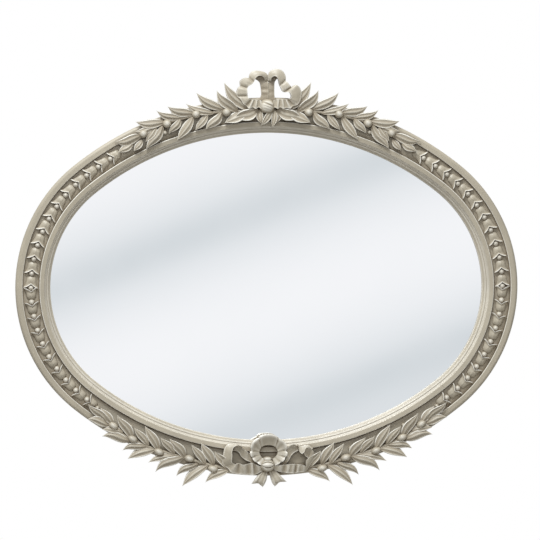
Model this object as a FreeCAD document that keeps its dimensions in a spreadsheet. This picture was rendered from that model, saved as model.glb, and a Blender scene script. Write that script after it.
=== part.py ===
import FreeCAD, Part
import math
import os
import Sketcher

# Oval wall mirror in a carved frame, millimetres.
# The wall is the plane y = 0, the mirror faces -Y, +Z is up and +X is to the right as seen from the room.
# The origin lies on the wall behind the centre of the oval.

SIZES = {
    # The oval, drawn by two end arcs and two flat arcs
    "frame_width": 1000.0,
    "frame_height": 750.0,
    # The moulding, from the outer edge to the glass
    "rail_width": 14.0,
    "channel_width": 33.4,
    "ridge_width": 10.2,
    "cove_width": 5.4,
    "bead_width": 4.5,
    "lip_width": 4.5,
    "rail_height": 28.0,
    "channel_depth": 8.0,
    "ridge_step": 1.2,
    "cove_height": 21.5,
    "cove_radius": 9.0,
    "bead_height": 19.5,
    "bead_step": 0.8,
    "lip_height": 15.5,
    "edge_round": 6.0,
    "back_taper": 6.0,
    "arris": 1.0,
    # The rebate at the back and what it holds
    "rebate_width": 10.0,
    "edge_clearance": 1.5,
    "glass_thickness": 4.0,
    "packing_thickness": 1.5,
    "board_thickness": 3.0,
    "wall_gap": 5.0,
    # Loose tongues that key the four timber segments
    "tongue_length": 40.0,
    "tongue_width": 24.0,
    "tongue_thickness": 4.0,
    "tongue_back": 8.0,
    "tongue_inset": 31.0,
    "glue_gap": 0.15,
    # Turn buttons that hold the backboard
    "button_length": 20.0,
    "button_width": 12.0,
    "button_thickness": 1.5,
    "button_inset": 54.0,
    "running_gap": 0.08,
    # Screws
    "screw_radius": 1.75,
    "screw_length": 13.0,
    "head_radius": 3.8,
    "head_height": 1.6,
    # Strap hangers with their rings
    "strap_length": 38.0,
    "strap_width": 12.0,
    "strap_thickness": 1.0,
    "strap_screw_gap": 13.0,
    "strap_end_gap": 6.0,
    "hanger_inset": 30.0,
    "ring_radius": 12.0,
    "wire_radius": 1.1,
    # Wall bumpers
    "bumper_radius": 10.0,
    "bumper_taper": 1.0,
    "bumper_inset": 31.0,
    # Husk strips in the channel
    "strip_clearance": 0.3,
    "strip_thickness": 1.2,
    "husk_pitch": 28.5,
    "husk_length": 16.5,
    "husk_width": 28.0,
    "husk_height": 7.4,
    "mouth_gap": 8.0,
    "bead_radius": 5.2,
    # Laurel sprays
    "top_spray_length": 305.0,
    "bottom_spray_length": 367.0,
    "leaf_width": 17.0,
    "leaf_height": 10.0,
    "berry_radius": 7.7,
    "stem_width": 9.0,
    "stem_height": 4.0,
    # Bows
    "top_knot_inset": 17.0,
    "top_loop_width": 63.0,
    "top_loop_height": 75.5,
    "top_loop_depth": 15.0,
    "bottom_knot_inset": 21.0,
    "side_loop_width": 93.0,
    "side_loop_height": 42.0,
    "side_loop_depth": 13.0,
    "centre_loop_width": 37.0,
    "centre_loop_height": 63.0,
    "centre_loop_depth": 18.0,
    "knot_radius": 12.0,
    "knot_height": 20.0,
    "petal_length": 40.0,
    "petal_width": 15.0,
    "tail_length": 46.0,
    "tail_width": 24.0,
    "tail_height": 8.0,
    # Angles in degrees: half of an end arc, then places round the arcs
    "joint_angle": 51.5,
    "end_button_angle": 26.0,
    "flat_button_angle": 17.0,
    "hanger_angle": 30.0,
    "bumper_angle": 42.0,
}

# Roundings: of the inner bead and of a turn button's ends, and how far a screw's head narrows to its crown
BEAD_ROUND_SHARE = 0.6
BUTTON_ROUND_SHARE = 0.6
SCREW_CROWN_SHARE = 0.7

# Leaves of the sprays: root along the spray and out from the frame's edge, tip likewise, and fullness.
# The first of each pair is a share of the spray's length, the second a share of the moulding's width.
TOP_LEAF_SHARES = (
    (0.07, -0.42, 0.25, 0.44, 1.00),
    (0.21, -0.36, 0.29, 0.24, 0.80),
    (0.17, -0.31, 0.28, -0.65, 1.00),
    (0.05, -0.40, 0.19, -0.57, 1.00),
    (0.27, -0.26, 0.41, 0.26, 1.00),
    (0.34, -0.31, 0.48, 0.10, 0.80),
    (0.29, -0.32, 0.40, -0.69, 1.00),
    (0.38, -0.29, 0.47, -0.63, 0.80),
    (0.46, -0.20, 0.59, 0.19, 1.00),
    (0.54, -0.24, 0.66, 0.18, 0.80),
    (0.47, -0.26, 0.60, -0.74, 1.00),
    (0.55, -0.22, 0.64, -0.51, 0.80),
    (0.65, -0.18, 0.80, 0.10, 1.00),
    (0.72, -0.20, 0.83, -0.10, 0.80),
    (0.67, -0.25, 0.81, -0.67, 1.00),
    (0.71, -0.21, 0.80, -0.47, 0.80),
    (0.82, -0.29, 0.96, -0.14, 0.95),
    (0.86, -0.35, 1.00, -0.46, 0.95),
    (0.83, -0.42, 0.92, -0.57, 0.80),
)
TOP_BERRY_SHARES = ((0.26, -0.33), (0.45, -0.22), (0.64, -0.24), (0.80, -0.31))
BOTTOM_LEAF_SHARES = (
    (0.24, -0.22, 0.30, 0.31, 0.90),
    (0.21, -0.14, 0.28, -0.54, 0.90),
    (0.31, -0.14, 0.40, 0.53, 1.00),
    (0.36, -0.13, 0.44, 0.33, 0.80),
    (0.28, -0.18, 0.36, -0.68, 1.00),
    (0.32, -0.14, 0.41, -0.58, 0.80),
    (0.44, -0.21, 0.54, 0.39, 1.00),
    (0.48, -0.19, 0.59, 0.22, 0.80),
    (0.43, -0.19, 0.53, -0.57, 1.00),
    (0.49, -0.21, 0.58, -0.51, 0.80),
    (0.59, -0.17, 0.69, 0.35, 1.00),
    (0.64, -0.15, 0.73, 0.22, 0.80),
    (0.57, -0.15, 0.68, -0.62, 1.00),
    (0.63, -0.17, 0.73, -0.46, 0.80),
    (0.73, -0.08, 0.85, 0.17, 1.00),
    (0.78, -0.22, 0.87, -0.01, 0.80),
    (0.72, -0.14, 0.84, -0.54, 1.00),
    (0.86, -0.18, 0.96, -0.01, 0.90),
    (0.84, -0.24, 0.94, -0.46, 0.90),
    (0.87, -0.20, 1.00, -0.36, 0.85),
)
# Stems of the sprays: along the spray and out from the frame's edge, as for the roots of the leaves
TOP_STEM_SHARES = (
    (0.04, -0.38),
    (0.20, -0.33),
    (0.30, -0.29),
    (0.45, -0.25),
    (0.60, -0.23),
    (0.74, -0.23),
    (0.88, -0.38),
)
BOTTOM_STEM_SHARES = (
    (0.18, -0.12),
    (0.30, -0.16),
    (0.45, -0.20),
    (0.60, -0.16),
    (0.74, -0.15),
    (0.84, -0.21),
    (0.92, -0.26),
)
BOTTOM_BERRY_SHARES = ((0.28, -0.07), (0.41, -0.21), (0.57, -0.13), (0.72, -0.17), (0.84, -0.24))

# Sections of a leaf from root to tip: along its length, across its half width, up its height
LEAF_SECTION_SHARES = (
    (0.00, 0.00, 0.00),
    (0.10, 0.36, 0.45),
    (0.32, 0.86, 0.90),
    (0.56, 1.00, 1.00),
    (0.80, 0.66, 0.80),
    (1.00, 0.00, 0.00),
)
LEAF_BEND_SHARE = 0.05

# Half the plan of a husk from the notch of its mouth round to its narrow end, as shares of its length
# and its half width
HALF_HUSK_SHARES = (
    (0.00, 0.00),
    (-0.22, 0.42),
    (-0.48, 1.00),
    (-0.05, 0.70),
    (0.25, 0.62),
    (0.70, 0.62),
    (0.93, 0.42),
    (1.00, 0.12),
)
# Where a husk is highest, and how far in and up its shoulder is
HUSK_CREST_SHARE = 0.36
HUSK_SHOULDER_SHARE = 0.72
# The strips end half a bead short of the middle of the top and bottom
HALF_BEAD_SHARE = 0.5
# How much of each quarter the husks cover, from the middle of the side; the sprays lie beyond them
UPPER_HUSKS_SHARE = 0.55
LOWER_HUSKS_SHARE = 0.46
# How far across the channel the stems of the sprays run
STEM_SHARE = 0.8

# Ribbon loops, right half: outer edge then inner edge, each as shares of the loop's width and height
TOP_LOOP_SHARES = (
    ((0.03, 0.14), (0.17, 0.20)),
    ((0.02, 0.42), (0.17, 0.45)),
    ((0.03, 0.70), (0.19, 0.65)),
    ((0.07, 0.90), (0.25, 0.72)),
    ((0.22, 1.00), (0.35, 0.74)),
    ((0.44, 0.97), (0.46, 0.73)),
    ((0.64, 0.84), (0.57, 0.68)),
    ((0.87, 0.76), (0.65, 0.61)),
    ((0.95, 0.53), (0.67, 0.47)),
    ((1.00, 0.31), (0.68, 0.31)),
    ((0.86, 0.08), (0.63, 0.20)),
    ((0.54, -0.04), (0.44, 0.15)),
    ((0.22, -0.07), (0.22, 0.15)),
)
SIDE_LOOP_SHARES = (
    ((0.16, 0.16), (0.31, 0.19)),
    ((0.26, 0.62), (0.35, 0.40)),
    ((0.37, 0.93), (0.43, 0.62)),
    ((0.58, 1.00), (0.57, 0.69)),
    ((0.80, 0.88), (0.71, 0.64)),
    ((0.95, 0.64), (0.80, 0.50)),
    ((1.00, 0.29), (0.82, 0.31)),
    ((0.95, -0.10), (0.75, 0.17)),
    ((0.80, -0.36), (0.66, 0.10)),
    ((0.58, -0.43), (0.54, 0.07)),
    ((0.37, -0.33), (0.43, 0.05)),
    ((0.17, -0.14), (0.34, 0.07)),
)
CENTRE_LOOP_SHARES = (
    ((0.00, 1.00), (0.00, 0.59)),
    ((0.49, 0.95), (0.24, 0.57)),
    ((0.84, 0.80), (0.41, 0.49)),
    ((1.00, 0.56), (0.46, 0.38)),
    ((0.89, 0.32), (0.43, 0.27)),
    ((0.60, 0.14), (0.27, 0.19)),
    ((0.22, 0.08), (0.08, 0.17)),
)
RIBBON_EDGE_SHARE = 0.55

# Petals on the right under the top knot: the way each points, in degrees from straight down, and its
# length share
PETAL_SHARES = ((13.0, 1.00), (42.0, 0.80))
PETAL_START_SHARE = 0.20

# A ribbon tail: along its length, then left, middle and right as shares of its half width, and height
TAIL_SECTION_SHARES = (
    (0.12, -0.40, 0.00, 0.40, 0.90),
    (0.42, -0.40, 0.05, 0.55, 1.00),
    (0.76, -0.60, 0.20, 0.85, 0.80),
)
TAIL_TIP_SHARES = ((0.98, -0.73), (0.83, 0.28), (0.99, 1.07))
TAIL_LEAN_DEGREES = 30.0

document = FreeCAD.newDocument("wall_mirror")
sheet = document.addObject("Spreadsheet::Sheet", "Sizes")
for row, (alias, number) in enumerate(SIZES.items(), start=1):
    sheet.set(f"A{row}", alias.replace("_", " "))
    sheet.set(f"B{row}", str(number))
    sheet.setAlias(f"B{row}", alias)
document.recompute()

parts = []


class Size:
    """A size from the sheet, or a sum of such sizes, kept both as an expression and as a number."""

    def __init__(self, text, number):
        self.text = text
        self.number = number

    def __float__(self):
        return self.number

    def combined(self, sign, other, number):
        text = other.text if isinstance(other, Size) else repr(float(other))
        return Size(f"({self.text} {sign} {text})", number)

    def __add__(self, other):
        return self.combined("+", other, self.number + float(other))

    def __sub__(self, other):
        return self.combined("-", other, self.number - float(other))

    def __mul__(self, other):
        return self.combined("*", other, self.number * float(other))

    def __truediv__(self, other):
        return self.combined("/", other, self.number / float(other))

    def __neg__(self):
        return self * -1

    def root(self):
        return Size(f"sqrt({self.text})", math.sqrt(self.number))

    def cosine(self):
        return Size(f"cos({self.text} * 1 deg)", math.cos(math.radians(self.number)))

    def sine(self):
        return Size(f"sin({self.text} * 1 deg)", math.sin(math.radians(self.number)))


def size(name):
    """The named size from the sheet."""
    return Size(f"Sizes.{name}", float(getattr(sheet, name)))


def bind(item, **properties):
    """Bind properties of a document object to sizes; two underscores stand for a dot."""
    for name, value in properties.items():
        item.setExpression(name.replace("__", "."), value.text)


# Sizes worked out from the sheet
half_width = size("frame_width") / 2
half_height = size("frame_height") / 2
joint_angle = size("joint_angle")
joint_degrees = joint_angle.number
joint_cosine = joint_angle.cosine()
joint_sine = joint_angle.sine()
centre_distance = (half_width - half_height) / (joint_cosine + joint_sine - 1)
end_radius = half_height - centre_distance * (-joint_sine + 1)
flat_radius = end_radius + centre_distance
end_centre = half_width - end_radius
flat_centre = flat_radius - half_height

channel_start = size("rail_width")
channel_end = channel_start + size("channel_width")
ridge_end = channel_end + size("ridge_width")
cove_end = ridge_end + size("cove_width")
bead_end = cove_end + size("bead_width")
sight_inset = bead_end + size("lip_width")
rebate_inset = sight_inset - size("rebate_width")
channel_floor = size("rail_height") - size("channel_depth")
rebate_depth = size("glass_thickness") + size("packing_thickness") + size("board_thickness")
wall_gap = size("wall_gap")
front_plane = -(wall_gap + size("rail_height")).number
floor_plane = -(wall_gap + channel_floor).number
moulding_width = sight_inset.number


def keep(item, name):
    """Name a finished sub-part and list it for export."""
    item.Label = name
    parts.append(item)
    return item


def turn_about_y(item, degrees):
    """Turn an object about the axis that runs from the room to the wall."""
    item.Placement.Rotation = FreeCAD.Rotation(FreeCAD.Vector(0, 1, 0), degrees)


def new_body(name):
    return document.addObject("PartDesign::Body", name)


def sketch_on(body, role, name):
    """A sketch on one of the body's own origin planes."""
    sketch = body.newObject("Sketcher::SketchObject", name)
    plane = next(item for item in body.Origin.OriginFeatures if item.Role == role)
    sketch.AttachmentSupport = [(plane, "")]
    sketch.MapMode = "FlatFace"
    return sketch


def lock_point(sketch, edge, end, across, up):
    """Hold one end of an edge at a bound place."""
    for kind, value in (("DistanceX", across), ("DistanceY", up)):
        index = sketch.addConstraint(Sketcher.Constraint(kind, edge, end, value.number))
        sketch.setExpression(f"Constraints[{index}]", value.text)


def arc_between(start, end, radius, rightward):
    """The short arc from start to end, which bulges to the right or the left of the way it runs."""
    chord = end - start
    middle = start + chord * 0.5
    side = FreeCAD.Vector(chord.y, -chord.x, 0)
    side.normalize()
    reach = radius - math.sqrt(radius**2 - chord.Length**2 / 4)
    return Part.Arc(start, middle + side * (reach if rightward else -reach), end)


def draw_outline(sketch, points, arcs):
    """Draw a closed outline of bound points; arcs gives the radius and side of each curved stretch."""
    places = [FreeCAD.Vector(across.number, up.number, 0) for across, up in points]
    for index, start in enumerate(places):
        end = places[(index + 1) % len(places)]
        if index in arcs:
            radius, rightward = arcs[index]
            sketch.addGeometry(arc_between(start, end, radius.number, rightward))
        else:
            sketch.addGeometry(Part.LineSegment(start, end))
    ends = [arc_ends(sketch, index, place) for index, place in enumerate(places)]
    for index, (across, up) in enumerate(points):
        following = (index + 1) % len(points)
        link = Sketcher.Constraint("Coincident", index, ends[index][1], following, ends[following][0])
        sketch.addConstraint(link)
        lock_point(sketch, index, ends[index][0], across, up)
    for index, (radius, _) in arcs.items():
        number = sketch.addConstraint(Sketcher.Constraint("Radius", index, radius.number))
        sketch.setExpression(f"Constraints[{number}]", radius.text)


def arc_ends(sketch, index, start):
    """Which ends of an edge are its start and its finish; the sketcher keeps every arc anticlockwise."""
    first = sketch.getPoint(index, 1)
    second = sketch.getPoint(index, 2)
    return (1, 2) if first.distanceToPoint(start) < second.distanceToPoint(start) else (2, 1)


def moulding_outline(radius):
    """Half section of the moulding, from its back outer corner round to the rebate."""
    height = size("rail_height")
    arris = size("arris")
    steps = (
        (size("back_taper"), radius * 0),
        (radius * 0, height - size("edge_round")),
        (size("edge_round"), height),
        (channel_start - arris, height),
        (channel_start, height - arris),
        (channel_start, channel_floor),
        (channel_end, channel_floor),
        (channel_end, height - arris),
        (channel_end + arris, height),
        (ridge_end - arris, height),
        (ridge_end, height - arris),
        (ridge_end, height - size("ridge_step")),
        (cove_end, size("cove_height")),
        (bead_end, size("bead_height")),
        (bead_end, size("bead_height") - size("bead_step")),
        (sight_inset - arris, size("lip_height")),
        (sight_inset, size("lip_height") - arris),
        (sight_inset, rebate_depth),
        (rebate_inset, rebate_depth),
        (rebate_inset, radius * 0),
    )
    points = [(radius - inset, -(wall_gap + rise)) for inset, rise in steps]
    arcs = {
        1: (size("edge_round"), False),
        11: (size("cove_radius"), True),
        12: (size("bead_width") * BEAD_ROUND_SHARE, False),
    }
    return points, arcs


def segment_blank(name, radius, centre, half_angle, turn):
    """One timber segment: the moulding's section turned about its arc's centre."""
    body = new_body(name + "_blank")
    sketch = sketch_on(body, "XY_Plane", name + "_section")
    bind(sketch, AttachmentOffset__Base__x=centre)
    points, arcs = moulding_outline(radius)
    draw_outline(sketch, points, arcs)
    turned = body.newObject("PartDesign::Revolution", name + "_sweep")
    turned.Profile = sketch
    turned.ReferenceAxis = (sketch, ["V_Axis"])
    turned.Midplane = True
    turned.setExpression("Angle", f"({half_angle}) * 2")
    turn_about_y(body, turn)
    return body


def arc_place(arc, angle, inset):
    """Bound X and Z of a point on the named arc, inset from the edge, and the turn to point +Z outwards."""
    degrees = angle.number
    if arc in ("left", "right"):
        side = 1 if arc == "right" else -1
        across = (end_centre + (end_radius - inset) * angle.cosine()) * side
        return across, (end_radius - inset) * angle.sine(), side * (90 - degrees)
    level = 1 if arc == "top" else -1
    up = ((flat_radius - inset) * angle.cosine() - flat_centre) * level
    turn = degrees if arc == "top" else 180 - degrees
    return (flat_radius - inset) * angle.sine(), up, turn


def joint_place(side, level, inset):
    """Bound X and Z of a point on the joint of two segments, and the turn that points +Z outwards."""
    across = (end_centre + (end_radius - inset) * joint_cosine) * side
    up = (end_radius - inset) * joint_sine * level
    turn = math.degrees(math.atan2(side * joint_cosine.number, level * joint_sine.number))
    return across, up, turn


def set_place(item, place, back):
    """Put an object at a place on the moulding, at a bound distance in front of the wall."""
    across, up, turn = place
    bind(item, Placement__Base__x=across, Placement__Base__y=-back, Placement__Base__z=up)
    turn_about_y(item, turn)


def plate(name, length, width, thickness):
    """A rectangular plate centred on its own origin, reaching from y = 0 towards the room."""
    body = new_body(name)
    sketch = sketch_on(body, "XZ_Plane", name + "_outline")
    corners = ((-1, -1), (1, -1), (1, 1), (-1, 1))
    draw_outline(sketch, [(length * (x / 2), width * (z / 2)) for x, z in corners], {})
    pad = body.newObject("PartDesign::Pad", name + "_pad")
    pad.Profile = sketch
    bind(pad, Length=thickness)
    return body


def drill(name, place, radius, depth, back):
    """A cylinder that starts a distance in front of the wall and runs towards the room."""
    cylinder = document.addObject("Part::Cylinder", name)
    across, up, _ = place
    bind(
        cylinder,
        Radius=radius,
        Height=depth,
        Placement__Base__x=across,
        Placement__Base__y=-back,
        Placement__Base__z=up,
    )
    cylinder.Placement.Rotation = FreeCAD.Rotation(FreeCAD.Vector(1, 0, 0), 90)
    return cylinder


def add_circle(sketch, across, up, radius):
    """Add a bound circle to a sketch, as a hole in its outline or as an outline of its own."""
    centre = FreeCAD.Vector(across.number, up.number, 0)
    index = sketch.addGeometry(Part.Circle(centre, FreeCAD.Vector(0, 0, 1), radius.number))
    number = sketch.addConstraint(Sketcher.Constraint("Radius", index, radius.number))
    sketch.setExpression(f"Constraints[{number}]", radius.text)
    lock_point(sketch, index, 3, across, up)


def oval_plate(name, inset, thickness, back):
    """An oval plate inset from the frame's edge, lying a distance in front of the wall."""
    body = new_body(name)
    sketch = sketch_on(body, "XZ_Plane", name + "_outline")
    bind(sketch, AttachmentOffset__Base__z=back)
    corners = [joint_place(side, level, inset)[:2] for side, level in ((1, 1), (-1, 1), (-1, -1), (1, -1))]
    flat = (flat_radius - inset, True)
    end = (end_radius - inset, True)
    draw_outline(sketch, corners, {0: flat, 1: end, 2: flat, 3: end})
    pad = body.newObject("PartDesign::Pad", name + "_pad")
    pad.Profile = sketch
    bind(pad, Length=thickness)
    return keep(body, name)


def screw(name, place, back):
    """A round-headed wood screw; back is how far its head's seat is from the wall."""
    length = size("screw_length")
    shank = drill(name + "_shank", place, size("screw_radius"), length, back)
    head = document.addObject("Part::Cone", name + "_head")
    across, up, _ = place
    bind(
        head,
        Radius1=size("head_radius"),
        Radius2=size("head_radius") * SCREW_CROWN_SHARE,
        Height=size("head_height"),
        Placement__Base__x=across,
        Placement__Base__y=-back,
        Placement__Base__z=up,
    )
    head.Placement.Rotation = FreeCAD.Rotation(FreeCAD.Vector(1, 0, 0), -90)
    whole = document.addObject("Part::Fuse", name)
    whole.Base = head
    whole.Tool = shank
    return whole


def group(name, members):
    """Separate solids that share one node."""
    together = document.addObject("Part::Compound", name)
    together.Links = members
    return together


def turn_button(name, place):
    """A round-ended plate on one screw, pointing at the middle of the mirror."""
    body = new_body(name)
    sketch = sketch_on(body, "XZ_Plane", name + "_outline")
    half = size("button_width") / 2
    length = size("button_length")
    corners = ((-half, -length), (half, -length), (half, half), (-half, half))
    rounding = (size("button_width") * BUTTON_ROUND_SHARE, True)
    draw_outline(sketch, corners, {0: rounding, 2: rounding})
    add_circle(sketch, half * 0, half * 0, size("screw_radius") + size("running_gap"))
    pad = body.newObject("PartDesign::Pad", name + "_pad")
    pad.Profile = sketch
    bind(pad, Length=size("button_thickness"))
    set_place(body, place, wall_gap - size("running_gap") - size("button_thickness"))
    return keep(body, name)


def strap_hanger(name, place):
    """A folded strap with two screw holes; its roll holds the straight leg of the ring."""
    body = new_body(name)
    sketch = sketch_on(body, "XZ_Plane", name + "_outline")
    half = size("strap_width") / 2
    thickness = size("strap_thickness")
    bore = size("wire_radius") + size("running_gap")
    start = -(size("wire_radius") / 2)
    end = -size("strap_length")
    draw_outline(sketch, ((-half, end), (half, end), (half, start), (-half, start)), {})
    for drop in hanger_screw_drops():
        add_circle(sketch, half * 0, -drop, size("screw_radius") + size("running_gap"))
    pad = body.newObject("PartDesign::Pad", name + "_pad")
    pad.Profile = sketch
    pad.Reversed = True
    bind(pad, Length=thickness)
    section = sketch_on(body, "YZ_Plane", name + "_roll_section")
    add_circle(section, bore + thickness, half * 0, bore + thickness)
    add_circle(section, bore + thickness, half * 0, bore)
    roll = body.newObject("PartDesign::Pad", name + "_roll")
    roll.Profile = section
    roll.Midplane = True
    bind(roll, Length=size("strap_width"))
    set_place(body, place, wall_gap)
    return keep(body, name)


def hanger_screw_drops():
    """How far each screw of a hanger lies below its ring's straight leg."""
    return size("ring_radius") + size("strap_end_gap"), size("strap_length") - size("strap_end_gap")


def hanger_ring(name, place):
    """A D-shaped ring of round wire, standing up from its straight leg."""
    radius = size("ring_radius")
    wire = size("wire_radius")
    leg = document.addObject("Part::Cylinder", name + "_leg")
    bind(leg, Radius=wire, Height=radius * 2, Placement__Base__x=-radius)
    leg.Placement.Rotation = FreeCAD.Rotation(FreeCAD.Vector(0, 1, 0), 90)
    bow = document.addObject("Part::Torus", name + "_bow")
    bind(bow, Radius1=radius, Radius2=wire)
    bow.Angle3 = 180
    bow.Placement.Rotation = FreeCAD.Rotation(FreeCAD.Vector(1, 0, 0), 90)
    corners = []
    for side in (-1, 1):
        corner = document.addObject("Part::Sphere", name + "_corner")
        bind(corner, Radius=wire, Placement__Base__x=radius * side)
        corners.append(corner)
    ring = document.addObject("Part::MultiFuse", name)
    ring.Shapes = [leg, bow] + corners
    set_place(ring, place, wall_gap - wire - size("running_gap") - size("strap_thickness"))
    return keep(ring, name)


def wall_bumper(name, place):
    """A round rubber foot between the frame and the wall."""
    bumper = document.addObject("Part::Cone", name)
    radius = size("bumper_radius")
    bind(bumper, Radius1=radius, Radius2=radius - size("bumper_taper"), Height=wall_gap)
    set_place(bumper, place, wall_gap)
    bumper.Placement.Rotation = FreeCAD.Rotation(FreeCAD.Vector(1, 0, 0), -90)
    return keep(bumper, name)


def feature(name, shape):
    """A shape made by the functions below, as an object of the document."""
    item = document.addObject("Part::Feature", name)
    item.Shape = shape
    return item


def mirrored(name, source, normal):
    """The mirror image of an object in a plane through the origin."""
    item = document.addObject("Part::Mirroring", name)
    item.Source = source
    item.Normal = normal
    return item


def cut_by(name, base, tools):
    """An object less everything that lies over it."""
    item = document.addObject("Part::Cut", name)
    item.Base = base
    item.Tool = tools[0] if len(tools) == 1 else group(name + "_tools", tools)
    return item


def skin(rings, closed=False):
    """A solid with flat facets through rings of points that correspond; a ring may close to one point."""
    faces = []
    following = rings[1:] + rings[:1] if closed else rings[1:]
    for near, far in zip(rings, following):
        for index, start in enumerate(near):
            after = (index + 1) % len(near)
            for corners in ((start, near[after], far[after]), (start, far[after], far[index])):
                add_facet(faces, corners)
    shell = Part.makeShell(faces)
    shell.sewShape()
    solid = Part.makeSolid(shell)
    if solid.Volume < 0:
        solid.reverse()
    return solid


def add_facet(faces, corners):
    """Add a flat facet unless two of its corners coincide."""
    if len({(corner.x, corner.y, corner.z) for corner in corners}) == len(corners):
        faces.append(Part.Face(Part.makePolygon(list(corners) + [corners[0]])))


def at(across, up, rise=0.0):
    """A point that stands the given rise in front of the frame's rail."""
    return FreeCAD.Vector(across, front_plane - rise, up)


def leaf(root, tip, width, height):
    """A pointed leaf, flat at the back, with its midrib as its highest line."""
    along = tip - root
    across = FreeCAD.Vector(along.z, 0, -along.x)
    across.normalize()
    rings = []
    for place_share, width_share, height_share in LEAF_SECTION_SHARES:
        bend = 4 * place_share * (1 - place_share) * LEAF_BEND_SHARE
        middle = root + along * place_share + across * (bend * along.Length)
        edge = across * (width_share * width / 2)
        crest = FreeCAD.Vector(0, -height_share * height, 0)
        rings.append([middle - edge, middle + crest, middle + edge])
    return skin(rings)


def spray_point(level, station, offset):
    """A point on the right half of the top or the bottom, along the spray and out from the frame's edge."""
    stem_inset = channel_start.number + STEM_SHARE * size("channel_width").number
    angle = station / (flat_radius.number - stem_inset)
    radius = flat_radius.number + offset
    return at(radius * math.sin(angle), (radius * math.cos(angle) - flat_centre.number) * level)


def dome(centre, radius):
    """Half a ball that stands on the plane through its centre."""
    return Part.makeSphere(radius, centre, FreeCAD.Vector(0, -1, 0), 0, 90)


def stem(level, length, stations):
    """The stem that carries the leaves, a low ridge between two points."""
    half = FreeCAD.Vector(0, 0, size("stem_width").number / 2)
    crest = FreeCAD.Vector(0, -size("stem_height").number, 0)
    middles = [spray_point(level, place * length, offset * moulding_width) for place, offset in stations]
    rings = [[middle - half, middle + crest, middle + half] for middle in middles[1:-1]]
    return skin([[middles[0]] * 3] + rings + [[middles[-1]] * 3])


def laurel_spray(name, level, length, leaves, berries, stations):
    """The right-hand spray of the top or the bottom: its leaves and berries in one casting."""
    pieces = [stem(level, length, stations)]
    for root_station, root_offset, tip_station, tip_offset, fullness in leaves:
        root = spray_point(level, root_station * length, root_offset * moulding_width)
        tip = spray_point(level, tip_station * length, tip_offset * moulding_width)
        width = size("leaf_width").number * fullness
        pieces.append(leaf(root, tip, width, size("leaf_height").number * fullness))
    for station, offset in berries:
        centre = spray_point(level, station * length, offset * moulding_width)
        pieces.append(dome(centre, size("berry_radius").number))
    return feature(name, pieces[0].multiFuse(pieces[1:]))


def channel_point(distance, inset):
    """A point of the upper right quarter, its way outwards and its way along, from the side's middle up."""
    end_path = end_radius.number - inset
    flat_path = flat_radius.number - inset
    end_length = end_path * math.radians(joint_degrees)
    if distance < end_length:
        angle = distance / end_path
        centre = FreeCAD.Vector(end_centre.number, floor_plane, 0)
        outward = FreeCAD.Vector(math.cos(angle), 0, math.sin(angle))
        path = end_path
    else:
        angle = math.radians(joint_degrees) + (distance - end_length) / flat_path
        centre = FreeCAD.Vector(0, floor_plane, -flat_centre.number)
        outward = FreeCAD.Vector(math.cos(angle), 0, math.sin(angle))
        path = flat_path
    return centre + outward * path, outward, FreeCAD.Vector(-outward.z, 0, outward.x)


def quarter_length(inset):
    """Length of a quarter of the oval that runs inset from the frame's edge."""
    end_length = (end_radius.number - inset) * math.radians(joint_degrees)
    return end_length + (flat_radius.number - inset) * math.radians(90 - joint_degrees)


def husk(distance, inset):
    """A bell-shaped husk whose mouth opens towards the side's middle."""
    middle, outward, along = channel_point(distance, inset)
    length = size("husk_length").number
    half = size("husk_width").number / 2
    height = FreeCAD.Vector(0, -size("husk_height").number, 0)
    left = [(place, -side) for place, side in reversed(HALF_HUSK_SHARES[1:])]
    outline = [
        middle + along * (place * length) + outward * (side * half)
        for place, side in list(HALF_HUSK_SHARES) + left
    ]
    crest = middle + along * (HUSK_CREST_SHARE * length)
    shoulder = [
        crest + (point - crest) * HUSK_SHOULDER_SHARE + height * HUSK_SHOULDER_SHARE for point in outline
    ]
    count = len(outline)
    return skin([[crest] * count, outline, shoulder, [crest + height] * count])


def channel_band(centre, start, inner, outer, degrees):
    """A flat strip on the channel's floor, turned about an arc's centre from the given direction."""
    thickness = FreeCAD.Vector(0, -size("strip_thickness").number, 0)
    near = centre + start * inner
    far = centre + start * outer
    face = Part.Face(Part.makePolygon([near, far, far + thickness, near + thickness, near]))
    return face.revolve(centre, FreeCAD.Vector(0, 1, 0), degrees)


def husk_strip(name, covered_share):
    """A husk strip of the upper right quarter, in one casting: its ground, and husks and beads on its start."""
    inset = (channel_start.number + channel_end.number) / 2
    half = size("channel_width").number / 2 - size("strip_clearance").number
    end_middle = FreeCAD.Vector(end_centre.number, floor_plane, 0)
    flat_middle = FreeCAD.Vector(0, floor_plane, -flat_centre.number)
    end_path = end_radius.number - inset
    flat_path = flat_radius.number - inset
    end_band = channel_band(
        end_middle, FreeCAD.Vector(1, 0, 0), end_path - half, end_path + half, -joint_degrees
    )
    flat_band = channel_band(
        flat_middle, FreeCAD.Vector(0, 0, 1), flat_path - half, flat_path + half, 90 - joint_degrees
    )
    count = round(quarter_length(inset) / size("husk_pitch").number - HALF_BEAD_SHARE)
    pitch = quarter_length(inset) / (count + HALF_BEAD_SHARE)
    pieces = [flat_band]
    for index in range(round(count * covered_share)):
        bead_place = index * pitch
        pieces.append(husk(bead_place + size("mouth_gap").number, inset))
        if index > 0:
            centre = channel_point(bead_place, inset)[0]
            pieces.append(dome(centre, size("bead_radius").number + size("strip_thickness").number))
    return feature(name, end_band.multiFuse(pieces))


def side_bead(name, side):
    """The round bead where the two strips of a side meet."""
    inset = (channel_start + channel_end) / 2
    ball = document.addObject("Part::Sphere", name)
    bind(
        ball,
        Radius=size("bead_radius"),
        Placement__Base__x=(half_width - inset) * side,
        Placement__Base__y=-(wall_gap + channel_floor + size("strip_thickness")),
    )
    ball.Angle1 = 0
    ball.Placement.Rotation = FreeCAD.Rotation(FreeCAD.Vector(1, 0, 0), 90)
    return keep(ball, name)


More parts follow.
